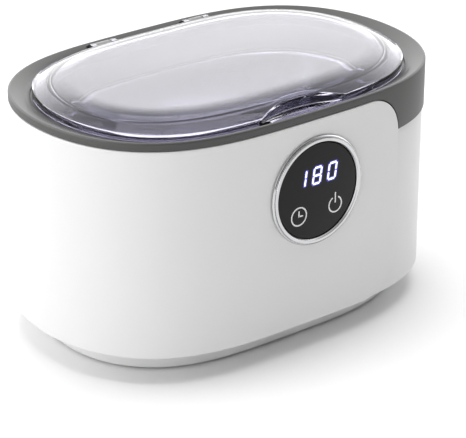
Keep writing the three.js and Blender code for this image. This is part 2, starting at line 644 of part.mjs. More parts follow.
function addWiring() {
  add('transducer_lead_upper', lead([
    [-20.6, 7, 29.3], [-23.6, 7, 28.4], [-25.6, 5.4, 22], [-26.2, 3.6, 15], [-26.3, 3.2, 11.2],
  ], 0.7, 10), leadRed);
  add('transducer_lead_lower', lead([
    [-20.6, -7, 24.4], [-23.4, -8.4, 23.6], [-25.6, -12.6, 18], [-26.4, -14.6, 14], [-26.5, -14.8, 11.2],
  ], 0.7, 10), leadGrey);
  for (const [side, place] of sides) {
    add(`mains_lead_${place}`, lead([
      [(side * SOCKET.pitch) / 2, 44.6, 30], [side * 3.4, 41, 29.4 - side], [-12, 37, 27.4 - side * 2.2],
      [-24, 33.4, 25.4 - side * 2.2], [-33 + side, 30, 23.6 - side * 1.6], [-36 + side * 2, 27.6, 20.6],
      [-36 + side * 2, 27.5, 18.3],
    ], 1, 16), side < 0 ? leadGrey : blackPlastic);
  }
  const section = [[-4, -0.45], [4, -0.45], [4, 0.45], [-4, 0.45]];
  const ribbon = new THREE.Shape(section.map(([x, y]) => new THREE.Vector2(x, y)));
  const route = new THREE.CatmullRomCurve3([
    [1.5, -57.4, 70], [1.5, -57.2, 64], [-2, -56.4, 53], [-15, -54.6, 38], [-33, -50, 29], [-44.6, -41.4, 26],
    [-47.8, -37.2, 22], [-48, -36.8, 17.4],
  ].map((point) => new THREE.Vector3(...point)));
  add('ribbon_cable', new THREE.ExtrudeGeometry(ribbon, { steps: 20, extrudePath: route }), leadGrey);
}

// ---------------------------------------------------------------- assembly

addBase();
addFeet();
addScrews();
addLowerHousing();
addUpperHousing();
addWrapPanel();
addLid();
addHinges();
addTank();
addTransducer();
addTouchPanel();
addPowerInlet();
addDriverBoard();
addWiring();

export default model;
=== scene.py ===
"""The looks of a household ultrasonic cleaner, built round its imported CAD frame.

Shapes are worked out in millimetres in the part's own frame: +X towards the end that the wrap panel
leaves bare, -Y towards the round display, +Y towards the hinges, +Z up. mesh_piece() turns them into metres.
"""

import json
import math

import bmesh
import bpy
import numpy as np
from mathutils import Matrix, Vector
from mathutils.geometry import delaunay_2d_cdt


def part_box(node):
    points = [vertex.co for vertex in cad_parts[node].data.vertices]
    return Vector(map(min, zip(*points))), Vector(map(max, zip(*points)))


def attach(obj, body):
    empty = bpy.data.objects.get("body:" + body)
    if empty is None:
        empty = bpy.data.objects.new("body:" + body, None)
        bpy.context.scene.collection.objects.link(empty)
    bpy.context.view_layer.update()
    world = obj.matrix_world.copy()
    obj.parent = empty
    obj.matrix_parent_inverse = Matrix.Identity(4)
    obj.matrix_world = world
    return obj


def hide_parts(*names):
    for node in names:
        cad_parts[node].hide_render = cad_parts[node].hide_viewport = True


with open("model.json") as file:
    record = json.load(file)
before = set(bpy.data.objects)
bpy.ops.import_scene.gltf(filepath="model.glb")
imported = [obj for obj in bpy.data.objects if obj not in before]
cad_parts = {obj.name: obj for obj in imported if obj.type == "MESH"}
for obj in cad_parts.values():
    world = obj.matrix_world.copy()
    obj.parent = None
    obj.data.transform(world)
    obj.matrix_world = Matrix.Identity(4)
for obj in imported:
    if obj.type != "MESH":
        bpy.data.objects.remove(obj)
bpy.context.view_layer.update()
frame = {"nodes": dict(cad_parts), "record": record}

MM = 0.001
FINE_ANGLE = math.radians(28)


def cad_box(node):
    """Lowest and highest corner of a CAD node, in millimetres."""
    low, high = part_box(node)
    return low / MM, high / MM


# -------- driving dimensions, in millimetres

PANEL_LOW, PANEL_HIGH = cad_box("wrap_panel")
BASE_LOW, BASE_HIGH = cad_box("base_plate")
LID_HIGH = cad_box("lid")[1]
BEZEL_LOW, BEZEL_HIGH = cad_box("bezel_ring")
GLASS_LOW = cad_box("display_glass")[0]
INLET_LOW, INLET_HIGH = cad_box("power_inlet")

# Body outline: |x / half length| ^ END_POWER + |y / half width| ^ SIDE_POWER = 1
HALF_LENGTH, HALF_WIDTH = -PANEL_LOW.x, -PANEL_LOW.y
END_POWER, SIDE_POWER = 3.51, 2.07
OUTLINE_STEPS = 360
CORE_LENGTH = 50.0

LID_LENGTH, LID_WIDTH = 91.0, 59.4
LID_SKIRT, LID_WALL, DOME_EDGE, DOME_EDGE_Z = 112.9, 1.8, 90.3, 117.0
DOME_RUN, DOME_RISE, DOME_CROWN, DOME_SHEET = 16.0, 5.3, LID_HIGH.z - 122.3, 2.3
# The dome's middle is a crown within CROWN_LENGTH. Its underside stands DOME_INSET further in.
DOME_INSET, CROWN_LENGTH = 1, DOME_EDGE - DOME_RUN
CROWN_RINGS = (0.97, 0.92, 0.84, 0.74, 0.62, 0.48, 0.33, 0.18, 0.08, 0)
RIB_OUTER, RIB_INNER, RIB_BOTTOM, RIB_SLOT = 84.4, 83.2, 111.0, 0.45
BODY_SPREAD = HALF_LENGTH - HALF_WIDTH
LID_SPREAD = LID_LENGTH - LID_WIDTH

PANEL_EDGE_X, PANEL_TOP_RADIUS, PANEL_BOTTOM_RADIUS = PANEL_HIGH.x, 20.0, 22.0
PANEL_INNER, PANEL_LIP = 100.7, 0.8
SEAT_INNER, SEAT_GAP = 100.4, 0.5
INLET_HOLE, INLET_FRAME = (22.0, 13.0), 1.9

# The housings: half-lengths of their rings, and heights. The lower one's tongue stands inside the upper one.
LOWER_OUTER, LOWER_INNER, LOWER_BOTTOM, LOWER_FLOOR, LOWER_TOP = 101.5, 98.3, 13, 15.4, 93.3
TONGUE_OUTER, TONGUE_INNER, TONGUE_FOOT, TONGUE_TOP = 98.9, 96.9, 89, 97.5
UPPER_OUTER, UPPER_INNER, UPPER_BOTTOM, UPPER_TOP = 102.2, 99.2, 93.6, 116.5
LID_POCKET, LID_LEDGE, THROAT, THROAT_BOTTOM = 91.9, 112.5, 78.6, 100.4
FLOOR_OPENING, BASE_OUTER, BASE_INNER, BASE_FLOOR = 80, 89.5, 87.3, 3.4

# The tank: half-lengths and heights of its floor, wall and flange, which holds the seal
TANK_FLOOR, TANK_SHEET, TANK_WALL, TANK_RIM = 53.4, 1.2, 78.6, 84.4
FLANGE_LOW, FLANGE_HIGH = 98, 99.2
SEAL_INNER, SEAL_OUTER, SEAL_LOW, SEAL_HIGH = 79.2, 84.6, 99.5, 100.1

DIAL_X, DIAL_Z = (BEZEL_LOW.x + BEZEL_HIGH.x) / 2, (BEZEL_LOW.z + BEZEL_HIGH.z) / 2
DIAL_RADIUS, DIAL_HOLE = (BEZEL_HIGH.x - BEZEL_LOW.x) / 2, 25.0
GLASS_FRONT = GLASS_LOW.y

HINGE_MIDDLE, HINGE_SPREAD, HINGE_Y, HINGE_Z, HINGE_RADIUS = 4.9, 27.5, 61.3, 114.7, 2.6
LUG_WIDTH, EAR_WIDTH, HINGE_GAP, PIN_HOLE, PIN_REACH = 8.0, 3.0, 0.3, 1.1, 9
# An ear's web: how far its front and its foot stand before the hinge's axis
WEB_FRONT, WEB_FOOT = 3.9, 1.9
# Spaces for the hinge in the upper housing: half-length, front and back from the axis, bottom and top
HINGE_POCKET, LUG_HOLE = (8, -3.7, 3, 111.7, 125), (3.3, -1.5, 1.5, 105, 115)
SCOOP_Y, SCOOP_RADIUS, SCOOP_FLOOR, TAB_ROUNDING = -112.0, 58.0, 114.4, 0.4
# The oval notch for a finger in the upper housing: half its length and height, and where its middle lies
NOTCH_LENGTH, NOTCH_HEIGHT, NOTCH_PLACE = 25, 5, Vector((0, 3.2 - LID_WIDTH, 116.4))

# The display: three seven-segment digits above two printed icons
DIGIT_X, DIGIT_Z, DIGIT_PITCH, DIGIT_SLANT = 1.2, 86.1, 8.8, math.radians(8)
DIGIT_HALF_WIDTH, DIGIT_HALF_HEIGHT, SEGMENT_WIDTH, SEGMENT_GAP = 2.1, 3.8, 0.9, 0.12
SEGMENTS = {
    "top": ((-1, 1), (1, 1)), "middle": ((-1, 0), (1, 0)), "bottom": ((-1, -1), (1, -1)),
    "upper_left": ((-1, 0), (-1, 1)), "upper_right": ((1, 0), (1, 1)),
    "lower_left": ((-1, -1), (-1, 0)), "lower_right": ((1, -1), (1, 0)),
}
DIGITS_SHOWN = (
    ("upper_right", "lower_right"),
    tuple(SEGMENTS),
    tuple(bar for bar in SEGMENTS if bar != "middle"),
)
CLOCK, POWER, ICON_LINE, PRINT_DEPTH = (-9.1, 68.6, 4.3), (12.2, 69.0, 3.7), 0.68, 0.03

# Radii of the dial's rings, and the depths of their backs
BEZEL_INNER, BEZEL_FLANGE, BEZEL_BACK, BEZEL_TAIL = 23.1, 24.7, -67.72, -58
GLASS_RADIUS, GLASS_BACK = 22.8, -66.5

CORNERS = {"front_left": (-1, -1), "front_right": (1, -1), "rear_left": (-1, 1), "rear_right": (1, 1)}
# Places of the screws and feet in the right rear quarter, repeated in the other three
BASE_SCREW, HOUSING_SCREW, FOOT = (68.0, 33.0), (81.5, 36.5), (54.0, 39.0)
# Screws: height of the head's underside, head radius, head height, shank radius and length
BASE_FIXING, HOUSING_FIXING = (5.4, 2.8, 2.3, 1.5, 16.6), (13.2, 2.5, 1.8, 1.3, 15)
# Bosses, posts and holes round the screws: radius, bottom, top and number of sides
BASE_BOSS, HOUSING_BOSS = (4, LOWER_BOTTOM + 0.01, 26, 48), (4.8, LOWER_BOTTOM + 0.01, 18, 48)
HOUSING_POST, TRAY_BOSS = (3, 18.3, 111.4, 32), (4.6, BASE_LOW.z + 1, BASE_HIGH.z, 48)
BASE_PILOT, HOUSING_PILOT = (1.8, 5, 24, 24), (1.6, 10, 32, 24)
HOUSING_HEAD_HOLE, HOUSING_SHANK_HOLE = (2.9, 5, 15.3, 32), (1.6, 10, 30, 24)
TRAY_HEAD_HOLE, TRAY_SHANK_HOLE, FOOT_RECESS = (3.2, -1, 8, 48), (1.8, 5, 20, 24), (6.5, -1, 2.2, 48)
FOOT_RADIUS, FOOT_HEIGHT = 6.2, 1.9
VENTS_FROM, VENTS_TO, VENT_PITCH, VENT_WIDTH, VENT_REACH = 18, 54, 6, 2.4, 16


# The studio. The room is dark behind the camera, bright behind the cleaner and dimmer overhead:
# (direction from, direction to, brightness from, brightness to)
ROOM_FRONT_TO_BACK, ROOM_UPWARDS = (-0.75, 0.25, 0.10, 1.3), (0.5, 0.85, 1.0, 0.4)
# What is added to the room's brightness, as a share of it, where a surface mirrors it
BACKDROP_SHINE = 1.3
# name, place in metres, side in metres, power in watts, whether surfaces mirror it
LAMPS = (
    ("key", (-0.9, 0.55, 1.1), 1.2, 4.2, True),
    ("top", (0.15, 0.1, 1.5), 1.2, 16.5, False),
    ("fill", (-1.35, -0.65, 0.7), 1.2, 5.7, False),
)
FLOOR_TONE, FLOOR_REACH, LAMP_AIM = 0.95, 4000, Vector((0, 0, 0.06))
# The camera, in metres
EYE, AIM, ROLL = Vector((-0.6298, -0.7969, 0.5022)), Vector((0.00777, 0.0, 0.03843)), math.radians(0.24)
LENS, SENSOR = 181.9, 36.0

# -------- mesh helpers


def mesh_piece(name, points, faces):
    """An object from points in millimetres, its doubled points merged and its faces turned outwards."""
    mesh = bpy.data.meshes.new(name)
    mesh.from_pydata((np.asarray(points, float) * MM).tolist(), [], [list(face) for face in faces])
    made = bmesh.new()
    made.from_mesh(mesh)
    bmesh.ops.remove_doubles(made, verts=made.verts, dist=0.002 * MM)
    bmesh.ops.dissolve_degenerate(made, edges=made.edges, dist=0.0005 * MM)
    bmesh.ops.recalc_face_normals(made, faces=made.faces)
    made.to_mesh(mesh)
    made.free()
    piece = bpy.data.objects.new(name, mesh)
    bpy.context.scene.collection.objects.link(piece)
    return piece


def smoothed(piece, angle=FINE_ANGLE):
    """Smooth shading that stays sharp where two faces meet at more than the angle."""
    piece.data.shade_smooth()
    piece.data.set_sharp_from_angle(angle=angle)
    return piece


def settle(piece):
    """Bakes the piece's modifiers into its mesh."""
    evaluated = piece.evaluated_get(bpy.context.evaluated_depsgraph_get())
    mesh = bpy.data.meshes.new_from_object(evaluated)
    piece.modifiers.clear()
    piece.data = mesh
    return piece


def bevelled(piece, width, segments, angle):
    bevel = piece.modifiers.new("bevel", "BEVEL")
    bevel.width, bevel.segments = width * MM, segments
    bevel.limit_method, bevel.angle_limit = "ANGLE", math.radians(angle)
    return settle(piece)


def discard(*pieces):
    for piece in pieces:
        bpy.data.objects.remove(piece)


def combine(piece, operation, *tools):
    """One exact boolean of the piece with all the tools together, which are used up."""
    for tool in tools:
        boolean = piece.modifiers.new("boolean", "BOOLEAN")
        boolean.operation, boolean.solver, boolean.object = operation, "EXACT", tool
    settle(piece)
    discard(*tools)
    return piece


def loft(name, u, v, lengths, heights, width):
    """A closed skin with a closed profile for each outline direction. lengths and heights are indexed by
    direction and by point along the profile."""
    count = len(u)
    lengths = np.broadcast_to(lengths, (count, np.shape(lengths)[-1]))
    heights = np.broadcast_to(heights, lengths.shape)
    points = np.stack([u[:, None] * lengths, v[:, None] * width(lengths), heights], axis=-1)
    ring = lengths.shape[1]
    here, there = np.arange(count), (np.arange(count) + 1) % count
    faces = []
    for j in range(ring):
        k = (j + 1) % ring
        if not (lengths[:, j].any() or lengths[:, k].any()):
            continue
        corners = [here * ring + j, there * ring + j, there * ring + k, here * ring + k]
        faces += np.stack(corners, axis=1).tolist()
    return mesh_piece(name, points.reshape(-1, 3), faces)


def rounded(corners, steps=4):
    """A closed profile [(across, up)] from corners (across, up, radius), each turned into an arc."""
    corners = [tuple(corner) + (0,) * (3 - len(corner)) for corner in corners]
    profile = []
    for k, (across, up, radius) in enumerate(corners):
        here = Vector((across, up))
        if not radius:
            profile.append(here)
            continue
        before, after = Vector(corners[k - 1][:2]), Vector(corners[(k + 1) % len(corners)][:2])
        to_before, to_after = (before - here).normalized(), (after - here).normalized()
        half = to_before.angle(to_after) / 2
        reach = radius / math.tan(half)
        centre = here + (to_before + to_after).normalized() * radius / math.sin(half)
        start, end = here + to_before * reach - centre, here + to_after * reach - centre
        turn = start.angle_signed(end)
        for step in range(steps + 1):
            profile.append(centre + Matrix.Rotation(-turn * step / steps, 2) @ start)
    return np.array([tuple(point) for point in profile])


def lathe(name, profile, centre, axis, steps):
    """The closed profile [(radius, along)] turned about the Y or Z axis through the centre."""
    angle = np.linspace(0, 2 * np.pi, steps, endpoint=False)
    radius, along = np.asarray(profile, float).T
    round_1, round_2 = np.outer(np.cos(angle), radius), np.outer(np.sin(angle), radius)
    level = np.broadcast_to(along, round_1.shape)
    stacked = [round_1, round_2, level] if axis == "Z" else [round_1, level, round_2]
    points = np.stack(stacked, axis=-1).reshape(-1, 3) + np.asarray(centre, float)
    ring = len(radius)
    faces = []
    for k in range(steps):
        here, there = k * ring, (k + 1) % steps * ring
        for j in range(ring):
            nearer, further = j, (j + 1) % ring
            if radius[nearer] or radius[further]:
                faces.append([here + nearer, there + nearer, there + further, here + further])
    return mesh_piece(name, points, faces)


def rod(x, y, radius, low, high, steps):
    """An upright cylinder, for joining or cutting."""
    return lathe("rod", [(0, low), (radius, low), (radius, high), (0, high)], (x, y, 0), "Z", steps)


def block(low, high, radius=0.0, steps=4):
    """A box between two corners, its upright edges rounded."""
    (x0, y0, z0), (x1, y1, z1) = low, high
    plan = rounded([(x0, y0, radius), (x1, y0, radius), (x1, y1, radius), (x0, y1, radius)], steps)
    return prism(plan, z0, z1)


def between(name, near, far):
    """A closed piece from one flat outline to another with as many points."""
    count = len(near)
    sides = [(k, (k + 1) % count, (k + 1) % count + count, k + count) for k in range(count)]
    return mesh_piece(name, near + far, [range(count), range(count, 2 * count), *sides])


def prism(plan, low, high):
    """A flat outline [(x, y)] raised from z = low to z = high."""
    return between("prism", [(x, y, low) for x, y in plan], [(x, y, high) for x, y in plan])


def turned_to_front(piece):
    """Stands a piece that was made lying on z = 0 upright, its upper side towards -Y."""
    piece.data.transform(Matrix.Rotation(math.pi / 2, 4, "X"))
    return piece


# -------- the oval outline


def fine_outline(steps=20000):
    angle = np.linspace(0, 2 * np.pi, steps + 1)
    cos, sin = np.cos(angle), np.sin(angle)
    u = np.sign(cos) * np.abs(cos) ** (2 / END_POWER)
    v = np.sign(sin) * np.abs(sin) ** (2 / SIDE_POWER)
    strides = np.hypot(np.diff(u) * HALF_LENGTH, np.diff(v) * HALF_WIDTH)
    return u, v, np.concatenate([[0], np.cumsum(strides)])


FINE_U, FINE_V, WALKED = fine_outline()
PERIMETER = WALKED[-1]


def outline_at(walked):
    """Unit outline points (u, v) at distances walked round the body from its right end, rear side first."""
    return np.interp(walked, WALKED, FINE_U), np.interp(walked, WALKED, FINE_V)


def widths(spread):
    """Half-width of the ring of a given half-length: a constant inset, and in scale within the core."""

    def width(length):
        return np.where(length > CORE_LENGTH, length - spread, length * (CORE_LENGTH - spread) / CORE_LENGTH)

    return width


body_width, lid_width = widths(BODY_SPREAD), widths(LID_SPREAD)


def housing_width(length):
    """The upper housing follows the body outside and the lid inside."""
    inside, outside = 91.5, 98.5
    share = np.clip((length - inside) / (outside - inside), 0, 1)
    return length - (LID_SPREAD + (BODY_SPREAD - LID_SPREAD) * share)


EVEN_U, EVEN_V = outline_at(np.arange(OUTLINE_STEPS) * PERIMETER / OUTLINE_STEPS)


def oval(name, corners, width, steps=4):
    """A profile of (half-length, z, radius) corners carried round the oval."""
    profile = rounded(corners, steps)
    return loft(name, EVEN_U, EVEN_V, profile[:, 0], profile[:, 1], width)


# -------- the wrap-round panel


class Sheet:
    """The panel's outline, unrolled: across is the distance walked round the body, up is z."""

    def __init__(self, grow=0.0):
        rear = np.interp(-PANEL_EDGE_X, -FINE_U[: len(FINE_U) // 4] * HALF_LENGTH, WALKED[: len(FINE_U) // 4])
        self.near, self.far = rear - grow, PERIMETER - rear + grow
        self.low, self.high = PANEL_LOW.z - grow, PANEL_HIGH.z + grow
        self.top, self.bottom = PANEL_TOP_RADIUS + grow, PANEL_BOTTOM_RADIUS + grow

    def loop(self, inset, stride=2.0, arc_steps=18):
        """Points (across, up) round the outline, moved in by inset."""
        corners = [
            (self.far - self.bottom, self.low + self.bottom, self.bottom, -90),
            (self.far - self.top, self.high - self.top, self.top, 0),
            (self.near + self.top, self.high - self.top, self.top, 90),
            (self.near + self.bottom, self.low + self.bottom, self.bottom, 180),
        ]
        points = []
        for k, (across, up, radius, start) in enumerate(corners):
            angle = np.radians(start + np.linspace(0, 90, arc_steps + 1))
            arc = np.array([across, up]) + (radius - inset) * np.stack([np.cos(angle), np.sin(angle)], axis=1)
            points.append(arc)
            after = corners[(k + 1) % 4]
            end = math.radians(start + 90)
            onward = np.array(after[:2]) + (after[2] - inset) * np.array([math.cos(end), math.sin(end)])
            pieces = max(2, round(np.linalg.norm(np.array(after[:2]) - (across, up)) / stride))
            share = np.linspace(0, 1, pieces + 1)[1:-1, None]
            points.append(arc[-1] + (onward - arc[-1]) * share)
        return np.concatenate(points)

    def lattice(self, inset, stride=2.0, rows=14):
        """Points (across, up) on a regular grid, well inside the outline."""
        across = np.arange(self.near + stride, self.far, stride)
        up = np.linspace(self.low, self.high, rows + 2)[1:-1]
        grid = np.stack(np.meshgrid(across, up), axis=-1).reshape(-1, 2)
        return grid[self.depth(grid) > inset]

    def depth(self, points):
        """How far inside the outline each point is."""
        across, up = points.T
        from_near, from_far = across - self.near, self.far - across
        from_low, from_high = up - self.low, self.high - up
        found = np.minimum.reduce([from_near, from_far, from_low, from_high])
        for edge in (from_near, from_far):
            for radius, lift in ((self.top, from_high), (self.bottom, from_low)):
                corner = (edge < radius) & (lift < radius)
                away = radius - np.hypot(radius - edge, radius - lift)
                found = np.where(corner, away, found)
        return found


def round_hole(across, up, radius, steps=96):
    angle = np.linspace(0, 2 * np.pi, steps, endpoint=False)
    loop = np.array([across, up]) + radius * np.stack([np.cos(angle), np.sin(angle)], axis=1)
    return loop, lambda points, margin: np.hypot(*(points - (across, up)).T) < radius * 0.999 + margin


def square_hole(across, up, width, height, radius=1.0):
    x0, x1, z0, z1 = across - width / 2, across + width / 2, up - height / 2, up + height / 2
    loop = rounded([(x0, z0, radius), (x1, z0, radius), (x1, z1, radius), (x0, z1, radius)])

    def inside(points, margin):
        apart = np.abs(points - (across, up)) - (width / 2 + margin, height / 2 + margin)
        return (apart < 0).all(axis=1)

    return loop, inside


def wrapped_sheet(name, sheet, section, edge, holes=()):
    """A closed skin bent round the body. section lists (inset, half-length) from the outer face round the
    sheet's edge, which is as wide as edge, to the inner face. Its ends are filled across, holes left open."""
    margin = 0.7
    loops = [sheet.loop(inset) for inset, _ in section]
    grid = sheet.lattice(edge + margin)
    for _, inside in holes:
        grid = grid[~inside(grid, margin)]
    hole_loops = [loop for loop, _ in holes]
    flat = np.concatenate([loops[0], *hole_loops, grid])
    edges, start = [], 0
    for loop in (loops[0], *hole_loops):
        edges += [(start + k, start + (k + 1) % len(loop)) for k in range(len(loop))]
        start += len(loop)
    found = delaunay_2d_cdt([Vector(point) for point in flat], edges, [], 0, 1e-6)
    original = [ids[0] for ids in found[3]]
    triangles = np.array([[original[k] for k in face] for face in found[2]])
    middles = flat[triangles].mean(axis=1)
    for _, inside in holes:
        open_here = inside(middles, 0)
        triangles, middles = triangles[~open_here], middles[~open_here]

    def bent(points, length):
        u, v = outline_at(points[:, 0])
        return np.stack([u * length, v * body_width(np.full(len(u), length)), points[:, 1]], axis=1)

    inner_start = len(flat)
    points = [bent(flat, section[0][1]), bent(flat, section[-1][1])]
    faces = triangles.tolist() + (triangles[:, ::-1] + inner_start).tolist()
    count, start = len(loops[0]), 2 * len(flat)
    starts = [0]
    for loop, (_, length) in zip(loops[1:-1], section[1:-1]):
        points.append(bent(loop, length))
        starts.append(start)
        start += count
    starts.append(inner_start)
    for one, two in zip(starts, starts[1:]):
        faces += [(one + k, one + (k + 1) % count, two + (k + 1) % count, two + k) for k in range(count)]
    start = count
    for loop in hole_loops:
        here = start + np.arange(len(loop))
        there = start + (np.arange(len(loop)) + 1) % len(loop)
        faces += np.stack([here, there, there + inner_start, here + inner_start], axis=1).tolist()
        start += len(loop)
    return mesh_piece(name, np.concatenate(points), faces)


def panel_seat():
    """The space that the panel and its gap take out of the housings."""
    return wrapped_sheet("seat", Sheet(SEAT_GAP), [(0, HALF_LENGTH + 3), (0, SEAT_INNER)], 0)


def dial_bore():
    bore = [(0, -HALF_WIDTH - 6), (DIAL_HOLE, -HALF_WIDTH - 6), (DIAL_HOLE, -50), (0, -50)]
    return lathe("bore", bore, (DIAL_X, 0, DIAL_Z), "Y", 96)


def inlet_bore():
    low = (INLET_LOW.x + INLET_FRAME, HALF_WIDTH - 12, INLET_LOW.z + INLET_FRAME)
    high = (INLET_HIGH.x - INLET_FRAME, HALF_WIDTH + 6, INLET_HIGH.z - INLET_FRAME)
    return block(low, high)


def wrap_panel():
    front = 3 / 4 * PERIMETER + DIAL_X
    inlet_z = (INLET_LOW.z + INLET_HIGH.z) / 2
    bend = np.radians(np.linspace(90, 0, 7))
    section = [(PANEL_LIP + 0.5, HALF_LENGTH)]
    section += [(PANEL_LIP * (1 - math.cos(a)), HALF_LENGTH - PANEL_LIP * (1 - math.sin(a))) for a in bend]
    section += [(0, PANEL_INNER + 0.2), (0.2, PANEL_INNER), (PANEL_LIP + 0.5, PANEL_INNER)]
    holes = [
        round_hole(front, DIAL_Z, DIAL_HOLE),
        square_hole(PERIMETER / 4, inlet_z, *INLET_HOLE),
    ]
    return smoothed(wrapped_sheet("outer_wrap_panel", Sheet(), section, PANEL_LIP + 0.5, holes))


# -------- housings and base


def at_corners(place):
    return [(name, i * place[0], j * place[1]) for name, (i, j) in CORNERS.items()]


def rods(place, *size):
    """An upright cylinder at each of the four corners, for joining or cutting."""
    return [rod(x, y, *size) for _, x, y in at_corners(place)]


def lower_housing():
    shell = oval("lower_shell", [
        (FLOOR_OPENING, LOWER_BOTTOM), (LOWER_OUTER, LOWER_BOTTOM, 1.2), (LOWER_OUTER, LOWER_TOP, 0.3),
        (TONGUE_OUTER, LOWER_TOP, 0.2), (TONGUE_OUTER, TONGUE_TOP, 0.3), (TONGUE_INNER, TONGUE_TOP, 0.3),
        (TONGUE_INNER, TONGUE_FOOT), (LOWER_INNER, TONGUE_FOOT - 1.4), (LOWER_INNER, LOWER_FLOOR, 0.6),
        (FLOOR_OPENING, LOWER_FLOOR, 0.4),
    ], body_width)
    combine(shell, "UNION", *rods(BASE_SCREW, *BASE_BOSS), *rods(HOUSING_SCREW, *HOUSING_BOSS))
    holes = rods(BASE_SCREW, *BASE_PILOT)
    holes += rods(HOUSING_SCREW, *HOUSING_HEAD_HOLE) + rods(HOUSING_SCREW, *HOUSING_SHANK_HOLE)
    return smoothed(combine(shell, "DIFFERENCE", *holes, panel_seat(), dial_bore(), inlet_bore()))


def finger_notch():
    notch = lathe("notch", [(0, -5), (1, -5), (1, 5), (0, 5)], (0, 0, 0), "Y", 96)
    notch.data.transform(Matrix.Diagonal((NOTCH_LENGTH, 1, NOTCH_HEIGHT, 1)))
    notch.data.transform(Matrix.Translation(NOTCH_PLACE * MM))
    return notch


def hinge_spaces():
    spaces = []
    for x in (hinge_x(-1), hinge_x(1)):
        for (half, front, back, low, high), radius in ((HINGE_POCKET, 0.8), (LUG_HOLE, 0)):
            spaces.append(block((x - half, HINGE_Y + front, low), (x + half, HINGE_Y + back, high), radius))
    return spaces


def upper_housing():
    rim = oval("upper_rim", [
        (UPPER_OUTER, UPPER_BOTTOM, 0.3), (UPPER_OUTER, UPPER_TOP - 0.3, 0.7),
        (UPPER_OUTER - 1, UPPER_TOP, 0.5), (97.4, 115, 3), (94.6, 113.9, 3), (LID_POCKET, 113.2, 0.3),
        (LID_POCKET, LID_LEDGE), (88.4, LID_LEDGE, 0.8), (THROAT, 101.2, 0.8), (THROAT, THROAT_BOTTOM, 0.2),
        (85, THROAT_BOTTOM), (85, 104, 1), (90.4, 110.1, 1), (93.5, 110.6), (UPPER_INNER, 113, 0.6),
        (UPPER_INNER, UPPER_BOTTOM, 0.2),
    ], housing_width)
    combine(rim, "UNION", *rods(HOUSING_SCREW, *HOUSING_POST))
    spaces = [panel_seat(), dial_bore(), finger_notch(), *hinge_spaces()]
    return smoothed(combine(rim, "DIFFERENCE", *rods(HOUSING_SCREW, *HOUSING_PILOT), *spaces))


def base_tray():
    low, high = BASE_LOW.z, BASE_HIGH.z
    tray = oval("base_tray", [
        (0, low), (BASE_OUTER, low, 1.4), (BASE_OUTER, high, 0.4), (BASE_INNER, high, 0.3),
        (BASE_INNER, BASE_FLOOR, 0.8), (0, BASE_FLOOR),
    ], body_width)
    combine(tray, "UNION", *rods(BASE_SCREW, *TRAY_BOSS))
    holes = rods(BASE_SCREW, *TRAY_HEAD_HOLE) + rods(BASE_SCREW, *TRAY_SHANK_HOLE) + rods(FOOT, *FOOT_RECESS)
    for x in range(VENTS_FROM, VENTS_TO, VENT_PITCH):
        end = VENT_WIDTH / 2 - 0.01
        holes.append(block((x, -VENT_REACH, -1), (x + VENT_WIDTH, VENT_REACH, 6), end, 6))
    return smoothed(combine(tray, "DIFFERENCE", *holes))


def foot_pad(name, x, y):
    profile = rounded([
        (0, 0.25), (3.6, 0.25, 0.4), (4.4, 0, 0.4), (5.4, 0, 0.4), (FOOT_RADIUS, 0.8, 0.5),
        (FOOT_RADIUS, FOOT_HEIGHT, 0.2), (0, FOOT_HEIGHT),
    ])
    return smoothed(lathe(f"rubber_foot_{name}", profile, (x, y, 0), "Z", 64))


def screw(name, x, y, z, head_radius, head_height, shank_radius, length):
    """A pan-head screw, point up, with a cross recess in its head."""
    profile = rounded([
        (0, 0), (head_radius, 0, 0.7), (head_radius, head_height, 0.15), (shank_radius, head_height, 0.2),
        (shank_radius, length - 1.5), (0, length),
    ])
    made = lathe(name, profile, (0, 0, 0), "Z", 40)
    arm, half, deep = head_radius * 0.6, head_radius * 0.14, 1.1
    recess = [block((-arm, -half, -1), (arm, half, deep)), block((-half, -arm, -1), (half, arm, deep))]
    combine(made, "DIFFERENCE", *recess)
    made.data.transform(Matrix.Translation(Vector((x, y, z)) * MM))
    return smoothed(made)


# -------- lid and hinges


def lid_directions():
    """Outline directions for the lid: even all round, and close together across the finger scoop."""
    even = np.arange(OUTLINE_STEPS) * PERIMETER / OUTLINE_STEPS
    front, reach, stride = 3 / 4 * PERIMETER, 34.0, 0.4
    close = front + np.arange(-reach, reach, stride)
    return outline_at(np.concatenate([even[even < front - reach], close, even[even >= front + reach]]))


def scoop_reach(u, v, radius):
    """Half-length at which each outline direction meets a circle about the scoop's centre."""
    lift = -SCOOP_Y - LID_SPREAD * v
    a, b, c = u * u + v * v, 2 * v * lift, lift * lift - radius * radius
    inside = np.maximum(b * b - 4 * a * c, 0)
    met = (b * b > 4 * a * c) & (v < 0)
    return np.where(met, (-b - np.sqrt(inside)) / (2 * a), 2 * LID_LENGTH)


def soft_least(one, two, blend=0.5):
    """The lesser of two lengths, with the meeting line rounded off."""
    near = np.maximum(blend - np.abs(one - two), 0) / blend
    return np.minimum(one, two) - near * near * blend / 4


def dome_slope(inward, down, runs):
    """Points (half-length, z) up the dome's slope from its edge, moved in and down by the given amounts."""
    share = 1 - np.asarray(runs) / DOME_RUN
    return [
        (DOME_EDGE - inward - run, DOME_EDGE_Z - down + DOME_RISE * (1 - part * part))
        for run, part in zip(runs, share)
    ]


def height_law(points):
    """Height as a function of half-length along points that run inwards or outwards."""
    lengths, heights = np.array(sorted(tuple(point) for point in points), float).T
    return lambda length: np.interp(length, lengths, heights)


